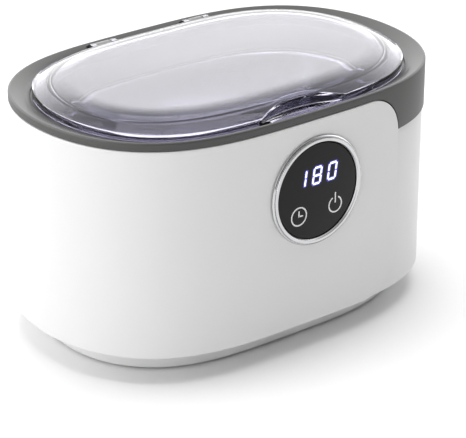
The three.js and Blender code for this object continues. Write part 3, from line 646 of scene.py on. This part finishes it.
def lid_heights():
    """Height laws of the lid's outer face, from its shoulder inwards, and of the dome's underside."""
    edge = (LID_LENGTH, DOME_EDGE_Z - 0.2, 0.55)
    shoulder = rounded([(LID_LENGTH, SCOOP_FLOOR), edge, (DOME_EDGE - 0.3, DOME_EDGE_Z + 0.2)])
    over = height_law([*shoulder[1:], *dome_slope(0, 0, np.linspace(0.6, DOME_RUN, 33))])
    under = height_law(dome_slope(DOME_INSET, DOME_SHEET, np.linspace(0, DOME_RUN, 33)))
    return over, under


def lid_edge(plain, wall, over):
    """From the skirt's foot up the outside, in over the scoop's tab and up the scoop's wall."""
    lip = np.clip(LID_LENGTH - wall, 0, 1)
    tab_edge = plain - TAB_ROUNDING * lip
    skin = [
        (plain - 0.3, LID_SKIRT), (plain, LID_SKIRT + 0.3), (plain, SCOOP_FLOOR - TAB_ROUNDING),
        (plain - 0.12 * lip, SCOOP_FLOOR - 0.12), (tab_edge, SCOOP_FLOOR),
        (np.minimum(wall + 0.5, tab_edge), SCOOP_FLOOR), (np.minimum(wall + 0.15, plain), SCOOP_FLOOR + 0.15),
        (wall, SCOOP_FLOOR + 0.5),
    ]
    brow = ((0, 0.4), (0.05, 0.16), (0.18, 0.03))
    return skin + [(wall - inset, over(wall - inset) - drop) for inset, drop in brow]


def dome_top(wall, over):
    """Up the dome's slope from the scoop's wall or the lid's edge, and in to the middle of the crown."""
    start = wall - 0.35
    rows = [start - share * (start - CROWN_LENGTH) for share in np.linspace(0, 1, 20) ** 1.3]
    top = DOME_EDGE_Z + DOME_RISE
    crown = [(CROWN_LENGTH * share, top + DOME_CROWN * (1 - share * share)) for share in CROWN_RINGS]
    return [(row, over(row)) for row in rows] + crown


def dome_underside(under):
    """From the middle of the crown's underside out to the drip rib."""
    length, top = CROWN_LENGTH - DOME_INSET, DOME_EDGE_Z + DOME_RISE - DOME_SHEET
    crown = [(length * share, top + DOME_CROWN * (1 - share * share)) for share in CROWN_RINGS[::-1]]
    return crown + [(row, under(row)) for row in np.linspace(length, RIB_INNER - 3.4, 8)]


def lid_rib(back, under):
    """Down and up the drip rib, then out to the wall's inside. Behind the scoop the rib moves inwards."""
    foot = RIB_INNER - 3
    rib = rounded([
        (foot, under(foot)), (RIB_INNER, under(RIB_INNER) - 0.2, 2.5), (RIB_INNER, RIB_BOTTOM, 0.5),
        (RIB_OUTER, RIB_BOTTOM, 0.5), (RIB_OUTER, LID_SKIRT),
    ])
    start = soft_least(np.full(len(back), RIB_OUTER), back - RIB_SLOT)
    rows = [start + share * (back - start) for share in np.linspace(0, 1, 8)]
    return [(length + start - RIB_OUTER, up) for length, up in rib] + [(row, under(row)) for row in rows]


def lid_shell():
    """The lid: a thin dome with a drip rib under it and a finger scoop cut into its front."""
    u, v = lid_directions()
    plain = np.full(len(u), LID_LENGTH)
    wall = soft_least(plain, scoop_reach(u, v, SCOOP_RADIUS))
    back = soft_least(plain - LID_WALL, scoop_reach(u, v, SCOOP_RADIUS + LID_WALL))
    over, under = lid_heights()
    skin = [*lid_edge(plain, wall, over), *dome_top(wall, over), *dome_underside(under)]
    skin += [*lid_rib(back, under), (back, LID_SKIRT)]
    lengths = np.stack([np.broadcast_to(length, len(u)) for length, _ in skin], axis=1)
    heights = np.stack([np.broadcast_to(up, len(u)) for _, up in skin], axis=1)
    return loft("clear_lid", u, v, lengths, heights, lid_width)


def hinge_x(side):
    return HINGE_MIDDLE + side * HINGE_SPREAD


def lid_ear(side, inward):
    """One of the two knuckles that hold a hinge pin."""
    inner = hinge_x(side) + inward * (LUG_WIDTH / 2 + HINGE_GAP)
    x0, x1 = sorted((inner, inner + inward * EAR_WIDTH))
    turn = np.radians(np.linspace(-90, 90, 19))
    knuckle = [(HINGE_Y + HINGE_RADIUS * math.cos(a), HINGE_Z + HINGE_RADIUS * math.sin(a)) for a in turn]
    web_top, web_low = HINGE_Z + HINGE_RADIUS - 0.4, LID_SKIRT + 0.05
    front, foot = HINGE_Y - WEB_FRONT, HINGE_Y - WEB_FOOT
    side_view = [(front, web_low), (foot, web_low), *knuckle, (front, web_top)]
    return between("ear", [(x0, y, z) for y, z in side_view], [(x1, y, z) for y, z in side_view])


def rod_x(y, z, radius, x0, x1, steps=32):
    made = rod(0, 0, radius, x0, x1, steps)
    made.data.transform(Matrix.Rotation(math.pi / 2, 4, "Y"))
    made.data.transform(Matrix.Translation(Vector((0, y, z)) * MM))
    return made


def clear_lid():
    lid = lid_shell()
    combine(lid, "UNION", *[lid_ear(side, inward) for side in (-1, 1) for inward in (-1, 1)])
    cuts = []
    for side in (-1, 1):
        x, half = hinge_x(side), LUG_WIDTH / 2 + HINGE_GAP
        cuts.append(rod_x(HINGE_Y, HINGE_Z, PIN_HOLE, x - PIN_REACH, x + PIN_REACH))
        front = HINGE_Y - HINGE_RADIUS - HINGE_GAP
        cuts.append(block((x - half, front, 105), (x + half, HINGE_Y + 10, 125), 0.4))
    return smoothed(combine(lid, "DIFFERENCE", *cuts))


# -------- tank, dial and display


def steel_tank():
    tank = oval("steel_tank", [
        (0, TANK_FLOOR), (69.4, 53.9, 4), (74.2, 56, 4), (76, 61.6, 4), (TANK_WALL, 96.2, 1),
        (TANK_WALL + 0.8, FLANGE_LOW, 0.6), (TANK_RIM, FLANGE_LOW), (TANK_RIM, FLANGE_HIGH, 0.3),
        (TANK_WALL - 0.2, FLANGE_HIGH, 0.6), (TANK_WALL - 1, 98.3, 0.6), (75.6, 68, 8), (74.8, 62, 3),
        (73.2, 57.4, 3), (69, 55.2, 3), (0, TANK_FLOOR + TANK_SHEET),
    ], lid_width)
    return smoothed(tank, math.radians(40))


def tank_seal():
    return smoothed(oval("tank_seal", [
        (SEAL_INNER, SEAL_LOW, 0.2), (SEAL_OUTER, SEAL_LOW, 0.2), (SEAL_OUTER, SEAL_HIGH, 0.2),
        (SEAL_INNER, SEAL_HIGH, 0.2),
    ], lid_width))


def chrome_bezel():
    front = BEZEL_LOW.y
    profile = rounded([
        (BEZEL_INNER, front + 0.8, 0.2), (23.6, front, 0.25), (24.9, front, 0.2), (25.1, front + 0.75, 0.1),
        (25.3, front + 0.75, 0.1), (25.5, front + 0.35, 0.15), (DIAL_RADIUS, front + 1, 0.3),
        (DIAL_RADIUS, BEZEL_BACK), (BEZEL_FLANGE, BEZEL_BACK), (BEZEL_FLANGE, BEZEL_TAIL, 0.2),
        (BEZEL_INNER, BEZEL_TAIL, 0.2),
    ], steps=5)
    return smoothed(lathe("chrome_bezel", profile, (DIAL_X, 0, DIAL_Z), "Y", 160))


def dial_glass():
    profile = rounded([
        (0, GLASS_FRONT), (GLASS_RADIUS, GLASS_FRONT, 0.35), (GLASS_RADIUS, GLASS_BACK, 0.1), (0, GLASS_BACK),
    ], steps=5)
    return smoothed(lathe("dial_glass", profile, (DIAL_X, 0, DIAL_Z), "Y", 160))


def stroke(points, width):
    """A flat line of even width along points (x, z), standing proud of the dial glass."""
    path = np.asarray(points, float)
    along = np.gradient(path, axis=0)
    along /= np.linalg.norm(along, axis=1)[:, None]
    aside = np.stack([-along[:, 1], along[:, 0]], axis=1) * width / 2
    return on_glass(np.concatenate([path + aside, (path - aside)[::-1]]), PRINT_DEPTH)


def on_glass(plan, depth):
    """An outline of points (x, z) raised to the given depth from the face of the dial glass."""
    piece = turned_to_front(prism(plan, -0.01, depth))
    piece.data.transform(Matrix.Translation(Vector((0, GLASS_FRONT, 0)) * MM))
    return piece


def slanted(points, middle):
    """Points (x, z) about a digit's middle, leaned as the display's digits are."""
    points = np.asarray(points, float)
    x = points[:, 0] + points[:, 1] * math.tan(DIGIT_SLANT)
    return np.stack([x + middle, points[:, 1] + DIGIT_Z], axis=1)


def segment(start, end, middle, grow, depth):
    """One bar of a seven-segment digit, with pointed ends."""
    start, end = (Vector((x * DIGIT_HALF_WIDTH, up * DIGIT_HALF_HEIGHT)) for x, up in (start, end))
    along = (end - start).normalized()
    aside = Vector((-along.y, along.x)) * (SEGMENT_WIDTH / 2 + grow)
    tip, neck = along * (SEGMENT_GAP - grow), along * (SEGMENT_GAP - grow + SEGMENT_WIDTH / 2)
    right, left = (start + neck - aside, end - neck - aside), (end - neck + aside, start + neck + aside)
    plan = [start + tip, *right, end - tip, *left]
    return on_glass(slanted([tuple(corner) for corner in plan], middle), depth)


def digits(grow, depth):
    """The bars that are lit for each digit shown, grown and raised by the given amounts."""
    return [
        segment(*SEGMENTS[bar], DIGIT_X + (place - 1) * DIGIT_PITCH, grow, depth)
        for place, shown in enumerate(DIGITS_SHOWN)
        for bar in shown
    ]


def arc(x, z, radius, start, end, steps=40):
    angle = np.radians(np.linspace(start, end, steps))
    return np.stack([x + radius * np.cos(angle), z + radius * np.sin(angle)], axis=1)


def clock_icon():
    x, z, radius = CLOCK
    return [
        stroke(arc(x, z, radius, 0, 181), ICON_LINE),
        stroke(arc(x, z, radius, 180, 361), ICON_LINE),
        stroke([(x, z + radius * 0.62), (x, z - ICON_LINE / 2)], ICON_LINE),
        stroke([(x, z), (x + radius * 0.55, z)], ICON_LINE),
    ]


def power_icon():
    x, z, radius = POWER
    return [
        stroke(arc(x, z, radius, 115, 425, 60), ICON_LINE),
        stroke([(x, z + radius * 0.2), (x, z + radius * 1.6)], ICON_LINE),
    ]


# -------- materials


class Finish:
    """A material under construction: one Principled shader and the nodes that feed it."""

    def __init__(self, name, **sockets):
        self.material = bpy.data.materials.new(name)
        self.material.use_nodes = True
        self.tree = self.material.node_tree
        self.shader = next(n for n in self.tree.nodes if n.type == "BSDF_PRINCIPLED")
        self.output = next(n for n in self.tree.nodes if n.type == "OUTPUT_MATERIAL")
        self.place = self.tree.nodes.new("ShaderNodeTexCoord")
        for socket, value in sockets.items():
            self.shader.inputs[socket.replace("_", " ").title().replace("Ior", "IOR")].default_value = value

    def node(self, kind, **settings):
        made = self.tree.nodes.new("ShaderNode" + kind)
        for key, value in settings.items():
            setattr(made, key, value)
        return made

    def link(self, source, target):
        self.tree.links.new(source, target)
        return source

    def noise(self, size, stretch=(1, 1, 1), detail=3.0):
        """Noise with features about size millimetres across, stretched along the axes."""
        mapping = self.node("Mapping")
        mapping.inputs["Scale"].default_value = [1 / (size * MM * s) for s in stretch]
        self.link(self.place.outputs["Object"], mapping.inputs["Vector"])
        noise = self.node("TexNoise")
        noise.inputs["Scale"].default_value = 1.0
        noise.inputs["Detail"].default_value = detail
        noise.inputs["Roughness"].default_value = 0.55
        self.link(mapping.outputs["Vector"], noise.inputs["Vector"])
        return noise.outputs["Fac"]

    def spread(self, source, low, high):
        """The source's middle range carried to low..high."""
        ranged = self.node("MapRange")
        for socket, value in zip(ranged.inputs[1:5], (0.3, 0.7, low, high)):
            socket.default_value = value
        self.link(source, ranged.inputs["Value"])
        return ranged.outputs["Result"]

    def tones(self, source, *stops):
        """A colour ramp of (position, colour) stops."""
        ramp = self.node("ValToRGB")
        elements = ramp.color_ramp.elements
        while len(elements) < len(stops):
            elements.new(0.5)
        for element, (position, colour) in zip(elements, stops):
            element.position, element.color = position, (*colour, 1)
        self.link(source, ramp.inputs["Fac"])
        return ramp.outputs["Color"]

    def colour(self, source):
        self.link(source, self.shader.inputs["Base Color"])

    def roughness(self, source, low, high):
        self.link(self.spread(source, low, high), self.shader.inputs["Roughness"])

    def bump(self, height, depth):
        """Relief of the given depth in millimetres."""
        bump = self.node("Bump")
        bump.inputs["Strength"].default_value = 1.0
        bump.inputs["Distance"].default_value = depth * MM
        self.link(height, bump.inputs["Height"])
        self.link(bump.outputs["Normal"], self.shader.inputs["Normal"])


def shade(colour, factor):
    return tuple(min(1.0, c * factor) for c in colour)


def moulded(name, colour, rough, grain, depth, tone, **sockets):
    """Moulded plastic, rubber or resin: faint flow clouds, uneven gloss and a fine surface grain."""
    made = Finish(name, **sockets)
    clouds = made.noise(28, detail=2)
    made.colour(made.tones(clouds, (0.3, shade(colour, 1 - tone)), (0.7, shade(colour, 1 + tone))))
    texture = made.noise(grain)
    made.roughness(texture, rough - 0.02, rough + 0.02)
    made.bump(texture, depth)
    return made.material


def metal(name, colour, rough, stretch, grain, depth):
    """Metal with fine tool marks along the stretched axes and slight staining."""
    made = Finish(name, metallic=1.0)
    clouds = made.noise(16, detail=4)
    made.colour(made.tones(clouds, (0.3, shade(colour, 0.93)), (0.7, shade(colour, 1.05))))
    marks = made.noise(grain, stretch, detail=4)
    made.roughness(marks, rough * 0.9, rough * 1.15)
    made.bump(marks, depth)
    return made.material


def copper_winding():
    """Closely laid turns of enamelled wire, with painted shade darkening the grooves between them."""
    made, turn, rough = Finish("copper_winding", metallic=0.8), 0.5, 0.35
    wave = made.node("TexWave", bands_direction="Z", wave_profile="SIN")
    wave.inputs["Scale"].default_value = 0.314 / (turn * MM)
    wave.inputs["Distortion"].default_value = 0.4
    made.link(made.place.outputs["Object"], wave.inputs["Vector"])
    # The dark end of the ramp is painted shade in the grooves between the turns.
    made.colour(made.tones(wave.outputs["Fac"], (0.1, (0.10, 0.03, 0.01)), (0.6, (0.52, 0.20, 0.07))))
    made.roughness(made.noise(2.0), rough * 0.8, rough * 1.2)
    made.bump(wave.outputs["Fac"], 0.08)
    return made.material


def circuit_board():
    """Solder mask over fine tracks, with scattered tinned pads."""
    made = Finish("circuit_board", coat_weight=0.3, coat_roughness=0.25)
    tracks = made.node("TexBrick", offset=0.37, squash=1.6)
    tracks.inputs["Scale"].default_value = 160
    tracks.inputs["Mortar Size"].default_value = 0.03
    tracks.inputs["Color1"].default_value = (0.010, 0.105, 0.040, 1)
    tracks.inputs["Color2"].default_value = (0.014, 0.135, 0.050, 1)
    tracks.inputs["Mortar"].default_value = (0.030, 0.230, 0.085, 1)
    made.link(made.place.outputs["Object"], tracks.inputs["Vector"])
    pads = made.node("TexVoronoi")
    pads.inputs["Scale"].default_value = 330
    made.link(made.place.outputs["Object"], pads.inputs["Vector"])
    spots = made.tones(pads.outputs["Distance"], (0.16, (1, 1, 1)), (0.19, (0, 0, 0)))
    mix = made.node("Mix", data_type="RGBA")
    made.link(spots, mix.inputs["Factor"])
    made.link(tracks.outputs["Color"], mix.inputs[6])
    mix.inputs[7].default_value = (0.62, 0.60, 0.56, 1)
    made.colour(mix.outputs[2])
    made.roughness(made.noise(1.2), 0.32, 0.48)
    made.bump(tracks.outputs["Fac"], 0.04)
    return made.material


def smoke_plastic():
    """Clear moulding with a violet-grey tint. Lamps shine through it unbent, so that the tank is lit."""
    made = Finish(
        "smoke_plastic", ior=1.49, transmission_weight=1.0, base_color=(0.5, 0.485, 0.56, 1.0),
        specular_ior_level=0.5,
    )
    made.roughness(made.noise(9), 0.01, 0.035)
    made.bump(made.noise(24, detail=1), 0.03)
    through = made.node("BsdfTransparent")
    through.inputs["Color"].default_value = (0.45, 0.43, 0.51, 1)
    ray = made.node("LightPath")
    mix = made.node("MixShader")
    made.link(ray.outputs["Is Shadow Ray"], mix.inputs["Fac"])
    made.link(made.shader.outputs["BSDF"], mix.inputs[1])
    made.link(through.outputs["BSDF"], mix.inputs[2])
    made.link(mix.outputs["Shader"], made.output.inputs["Surface"])
    return made.material


def glowing(name, colour, strength):
    """Light behind a mask: a little uneven, as a diffused diode is."""
    made = Finish(name, roughness=0.3)
    uneven = made.noise(2.5, detail=1)
    tint = made.tones(uneven, (0.3, shade(colour, 0.92)), (0.7, colour))
    made.colour(tint)
    made.link(tint, made.shader.inputs["Emission Color"])
    made.shader.inputs["Emission Strength"].default_value = strength
    made.roughness(made.noise(1.5), 0.25, 0.35)
    return made.material


# Colour, roughness, size of the grain and its relief in millimetres, and how far the tone varies
MOULDED = {
    "white_plastic": ((0.77, 0.77, 0.77), 0.3, 0.5, 0.0006, 0.004),
    "grey_plastic": ((0.056, 0.056, 0.054), 0.45, 0.35, 0.004, 0.04),
    "pale_grey_plastic": ((0.82, 0.82, 0.82), 0.42, 0.35, 0.006, 0.03),
    # The hinge lugs' plastic is the pale grey plastic darkened: painted shade.
    "shaded_hinge_plastic": ((0.22, 0.22, 0.22), 0.42, 0.35, 0.006, 0.03),
    "silicone": ((0.62, 0.62, 0.60), 0.6, 0.8, 0.02, 0.04),
    "piezo_ceramic": ((0.52, 0.40, 0.28), 0.72, 0.3, 0.02, 0.08),
    "black_glass": ((0.004, 0.004, 0.0045), 0.06, 6.0, 0.001, 0.1),
    "black_plastic": ((0.018, 0.018, 0.019), 0.45, 0.35, 0.015, 0.1),
    "ferrite": ((0.055, 0.055, 0.06), 0.7, 0.4, 0.03, 0.12),
    "capacitor_sleeve": ((0.02, 0.026, 0.05), 0.35, 1.2, 0.01, 0.1),
    "film_capacitor": ((0.66, 0.36, 0.05), 0.4, 0.8, 0.02, 0.04),
    "fuse_ceramic": ((0.78, 0.78, 0.74), 0.25, 1.0, 0.01, 0.03),
    "connector_white": ((0.76, 0.75, 0.70), 0.5, 0.5, 0.015, 0.04),
    "lead_red": ((0.42, 0.03, 0.03), 0.5, 0.6, 0.02, 0.04),
    "lead_grey": ((0.27, 0.28, 0.30), 0.5, 0.6, 0.02, 0.04),
    "lead_black": ((0.02, 0.02, 0.02), 0.5, 0.6, 0.02, 0.1),
    "rubber": ((0.03, 0.03, 0.03), 0.8, 0.3, 0.03, 0.1),
    "icon_ink": ((0.85, 0.85, 0.85), 0.4, 0.8, 0.001, 0.04),
}
# Shader values that only some of them change
GLOSS = {
    "grey_plastic": {"specular_ior_level": 0.58},
    "black_glass": {"specular_ior_level": 0.22},
    "fuse_ceramic": {"coat_weight": 0.4},
}
# Colour, roughness, how the tool marks are stretched, their size and their relief in millimetres
METALS = {
    "steel_sheet": ((0.62, 0.63, 0.65), 0.18, (14, 14, 1), 0.2, 0.0002),
    "aluminium": ((0.66, 0.67, 0.68), 0.34, (8, 8, 1), 0.25, 0.006),
    "electrode_brass": ((0.66, 0.48, 0.20), 0.32, (1, 1, 1), 0.5, 0.004),
    "machined_steel": ((0.46, 0.47, 0.48), 0.3, (8, 8, 1), 0.25, 0.006),
    "fastener_steel": ((0.68, 0.68, 0.70), 0.2, (1, 1, 1), 0.4, 0.004),
    "bezel_chrome": ((0.56, 0.56, 0.57), 0.13, (1, 1, 1), 0.8, 0.001),
}
MATERIALS = {
    **{name: moulded(name, *look, **GLOSS.get(name, {})) for name, look in MOULDED.items()},
    **{name: metal(name, *look) for name, look in METALS.items()},
    "smoke_plastic": smoke_plastic(),
    "circuit_board": circuit_board(),
    "copper_winding": copper_winding(),
}


# -------- assembly


def dressed(piece, slot, body, *nodes):
    """Gives a piece its finish, the body it rides on and the CAD nodes that it stands for. The hinge lugs
    get a darker copy of the plastic of their slot, which paints shade on them."""
    piece.data.materials.clear()
    finish = "shaded_hinge_plastic" if piece.name.startswith("hinge_lug") else slot
    piece.data.materials.append(MATERIALS[finish])
    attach(piece, body)
    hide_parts(*nodes)
    return piece


def coated(piece, name, material):
    """Names a small piece on the dial and gives it a material of its own."""
    piece.name = name
    piece.data.materials.append(material)
    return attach(piece, "housing")


def build_shells():
    dressed(wrap_panel(), "white_plastic", "housing", "wrap_panel")
    dressed(lower_housing(), "white_plastic", "housing", "lower_housing")
    dressed(upper_housing(), "grey_plastic", "housing", "upper_housing")
    dressed(base_tray(), "pale_grey_plastic", "housing", "base_plate")
    dressed(clear_lid(), "smoke_plastic", "lid", "lid")
    dressed(steel_tank(), "steel_sheet", "housing", "tank")
    dressed(tank_seal(), "silicone", "housing", "tank_gasket")


def build_dial():
    dressed(chrome_bezel(), "bezel_chrome", "housing", "bezel_ring")
    dressed(dial_glass(), "black_glass", "housing", "display_glass")
    glow = glowing("digit_glow", (0.05, 0.05, 0.34), 1.0)
    light = glowing("digit_light", (0.90, 0.93, 1.0), 1.25)
    for k, bar in enumerate(digits(0.5, 0.015)):
        coated(bar, f"digit_glow_{k}", glow)
    for k, bar in enumerate(digits(0, PRINT_DEPTH)):
        coated(bar, f"digit_bar_{k}", light)
    for k, line in enumerate(clock_icon() + power_icon()):
        coated(line, f"icon_line_{k}", MATERIALS["icon_ink"])


def build_fasteners_and_feet():
    for name, x, y in at_corners(FOOT):
        dressed(foot_pad(name, x, y), "rubber", "housing", f"foot_{name}")
    for name, x, y in at_corners(BASE_SCREW):
        made = screw(f"base_fixing_{name}", x, y, *BASE_FIXING)
        dressed(made, "fastener_steel", "housing", f"base_screw_{name}")
    for name, x, y in at_corners(HOUSING_SCREW):
        made = screw(f"housing_fixing_{name}", x, y, *HOUSING_FIXING)
        dressed(made, "fastener_steel", "housing", f"housing_screw_{name}")


def refine_the_rest():
    """Every CAD node without a piece of its own gets one from its own mesh, with softened edges."""
    slots = {part["node"]: part["material_slot"] for part in frame["record"]["subparts"]}
    for node, cad in frame["nodes"].items():
        if cad.hide_render:
            continue
        piece = bpy.data.objects.new(f"{node}_finished", cad.data.copy())
        bpy.context.scene.collection.objects.link(piece)
        size = min(cad.dimensions) / MM
        bevelled(piece, min(0.35, size * 0.12), 2, 40)
        dressed(smoothed(piece, math.radians(40)), slots[node], "housing", node)


def build_floor():
    """A plain pale floor, with only the faintest clouds in its tone."""
    corners = [(i * FLOOR_REACH, j * FLOOR_REACH, 0) for i, j in ((-1, -1), (1, -1), (1, 1), (-1, 1))]
    floor = mesh_piece("floor", corners, [range(4)])
    paper = Finish("paper", specular_ior_level=0.0)
    sheet = paper.noise(60, detail=2)
    paper.colour(paper.tones(sheet, (0.3, (FLOOR_TONE,) * 3), (0.7, (FLOOR_TONE * 1.01,) * 3)))
    paper.roughness(sheet, 0.85, 0.95)
    floor.data.materials.append(paper.material)


def build_room():
    """A white room whose brightness depends on the direction, and is raised in mirror images."""
    world = bpy.data.worlds.new("room")
    bpy.context.scene.world = world
    world.use_nodes = True
    nodes, links = world.node_tree.nodes, world.node_tree.links
    place, split = nodes.new("ShaderNodeTexCoord"), nodes.new("ShaderNodeSeparateXYZ")
    links.new(place.outputs["Generated"], split.inputs["Vector"])
    ray, shine = nodes.new("ShaderNodeLightPath"), nodes.new("ShaderNodeMath")
    shine.operation = "MULTIPLY_ADD"
    shine.inputs[1].default_value, shine.inputs[2].default_value = BACKDROP_SHINE, 1.0
    links.new(ray.outputs["Is Glossy Ray"], shine.inputs[0])
    strength = shine.outputs[0]
    for axis, values in (("Y", ROOM_FRONT_TO_BACK), ("Z", ROOM_UPWARDS)):
        ranged, product = nodes.new("ShaderNodeMapRange"), nodes.new("ShaderNodeMath")
        ranged.interpolation_type, product.operation = "SMOOTHSTEP", "MULTIPLY"
        for socket, value in zip(ranged.inputs[1:5], values):
            socket.default_value = value
        links.new(split.outputs[axis], ranged.inputs["Value"])
        links.new(ranged.outputs["Result"], product.inputs[0])
        links.new(strength, product.inputs[1])
        strength = product.outputs[0]
    links.new(strength, nodes["Background"].inputs["Strength"])
    nodes["Background"].inputs["Color"].default_value = (1, 1, 1, 1)


def build_lamps():
    """Soft square lamps, turned towards the cleaner. Only the key lamp shows in mirror images."""
    for name, place, size, power, mirrored in LAMPS:
        lamp = bpy.data.lights.new(name, "AREA")
        lamp.size, lamp.energy = size, power
        holder = bpy.data.objects.new(name, lamp)
        holder.location, holder.visible_glossy = place, mirrored
        holder.rotation_euler = (LAMP_AIM - Vector(place)).to_track_quat("-Z", "Y").to_euler()
        bpy.context.scene.collection.objects.link(holder)


def build_camera():
    camera = bpy.data.cameras.new("camera")
    camera.lens, camera.sensor_width = LENS, SENSOR
    camera.clip_start, camera.clip_end = 0.05, 50
    holder = bpy.data.objects.new("camera", camera)
    holder.location = EYE
    turn = (AIM - EYE).to_track_quat("-Z", "Y").to_matrix() @ Matrix.Rotation(ROLL, 3, "Z")
    holder.rotation_euler = turn.to_euler()
    bpy.context.scene.collection.objects.link(holder)
    bpy.context.scene.camera = holder


bpy.context.scene.view_settings.view_transform = "Standard"
build_camera()
build_floor()
build_room()
build_lamps()
build_shells()
build_dial()
build_fasteners_and_feet()
refine_the_rest()
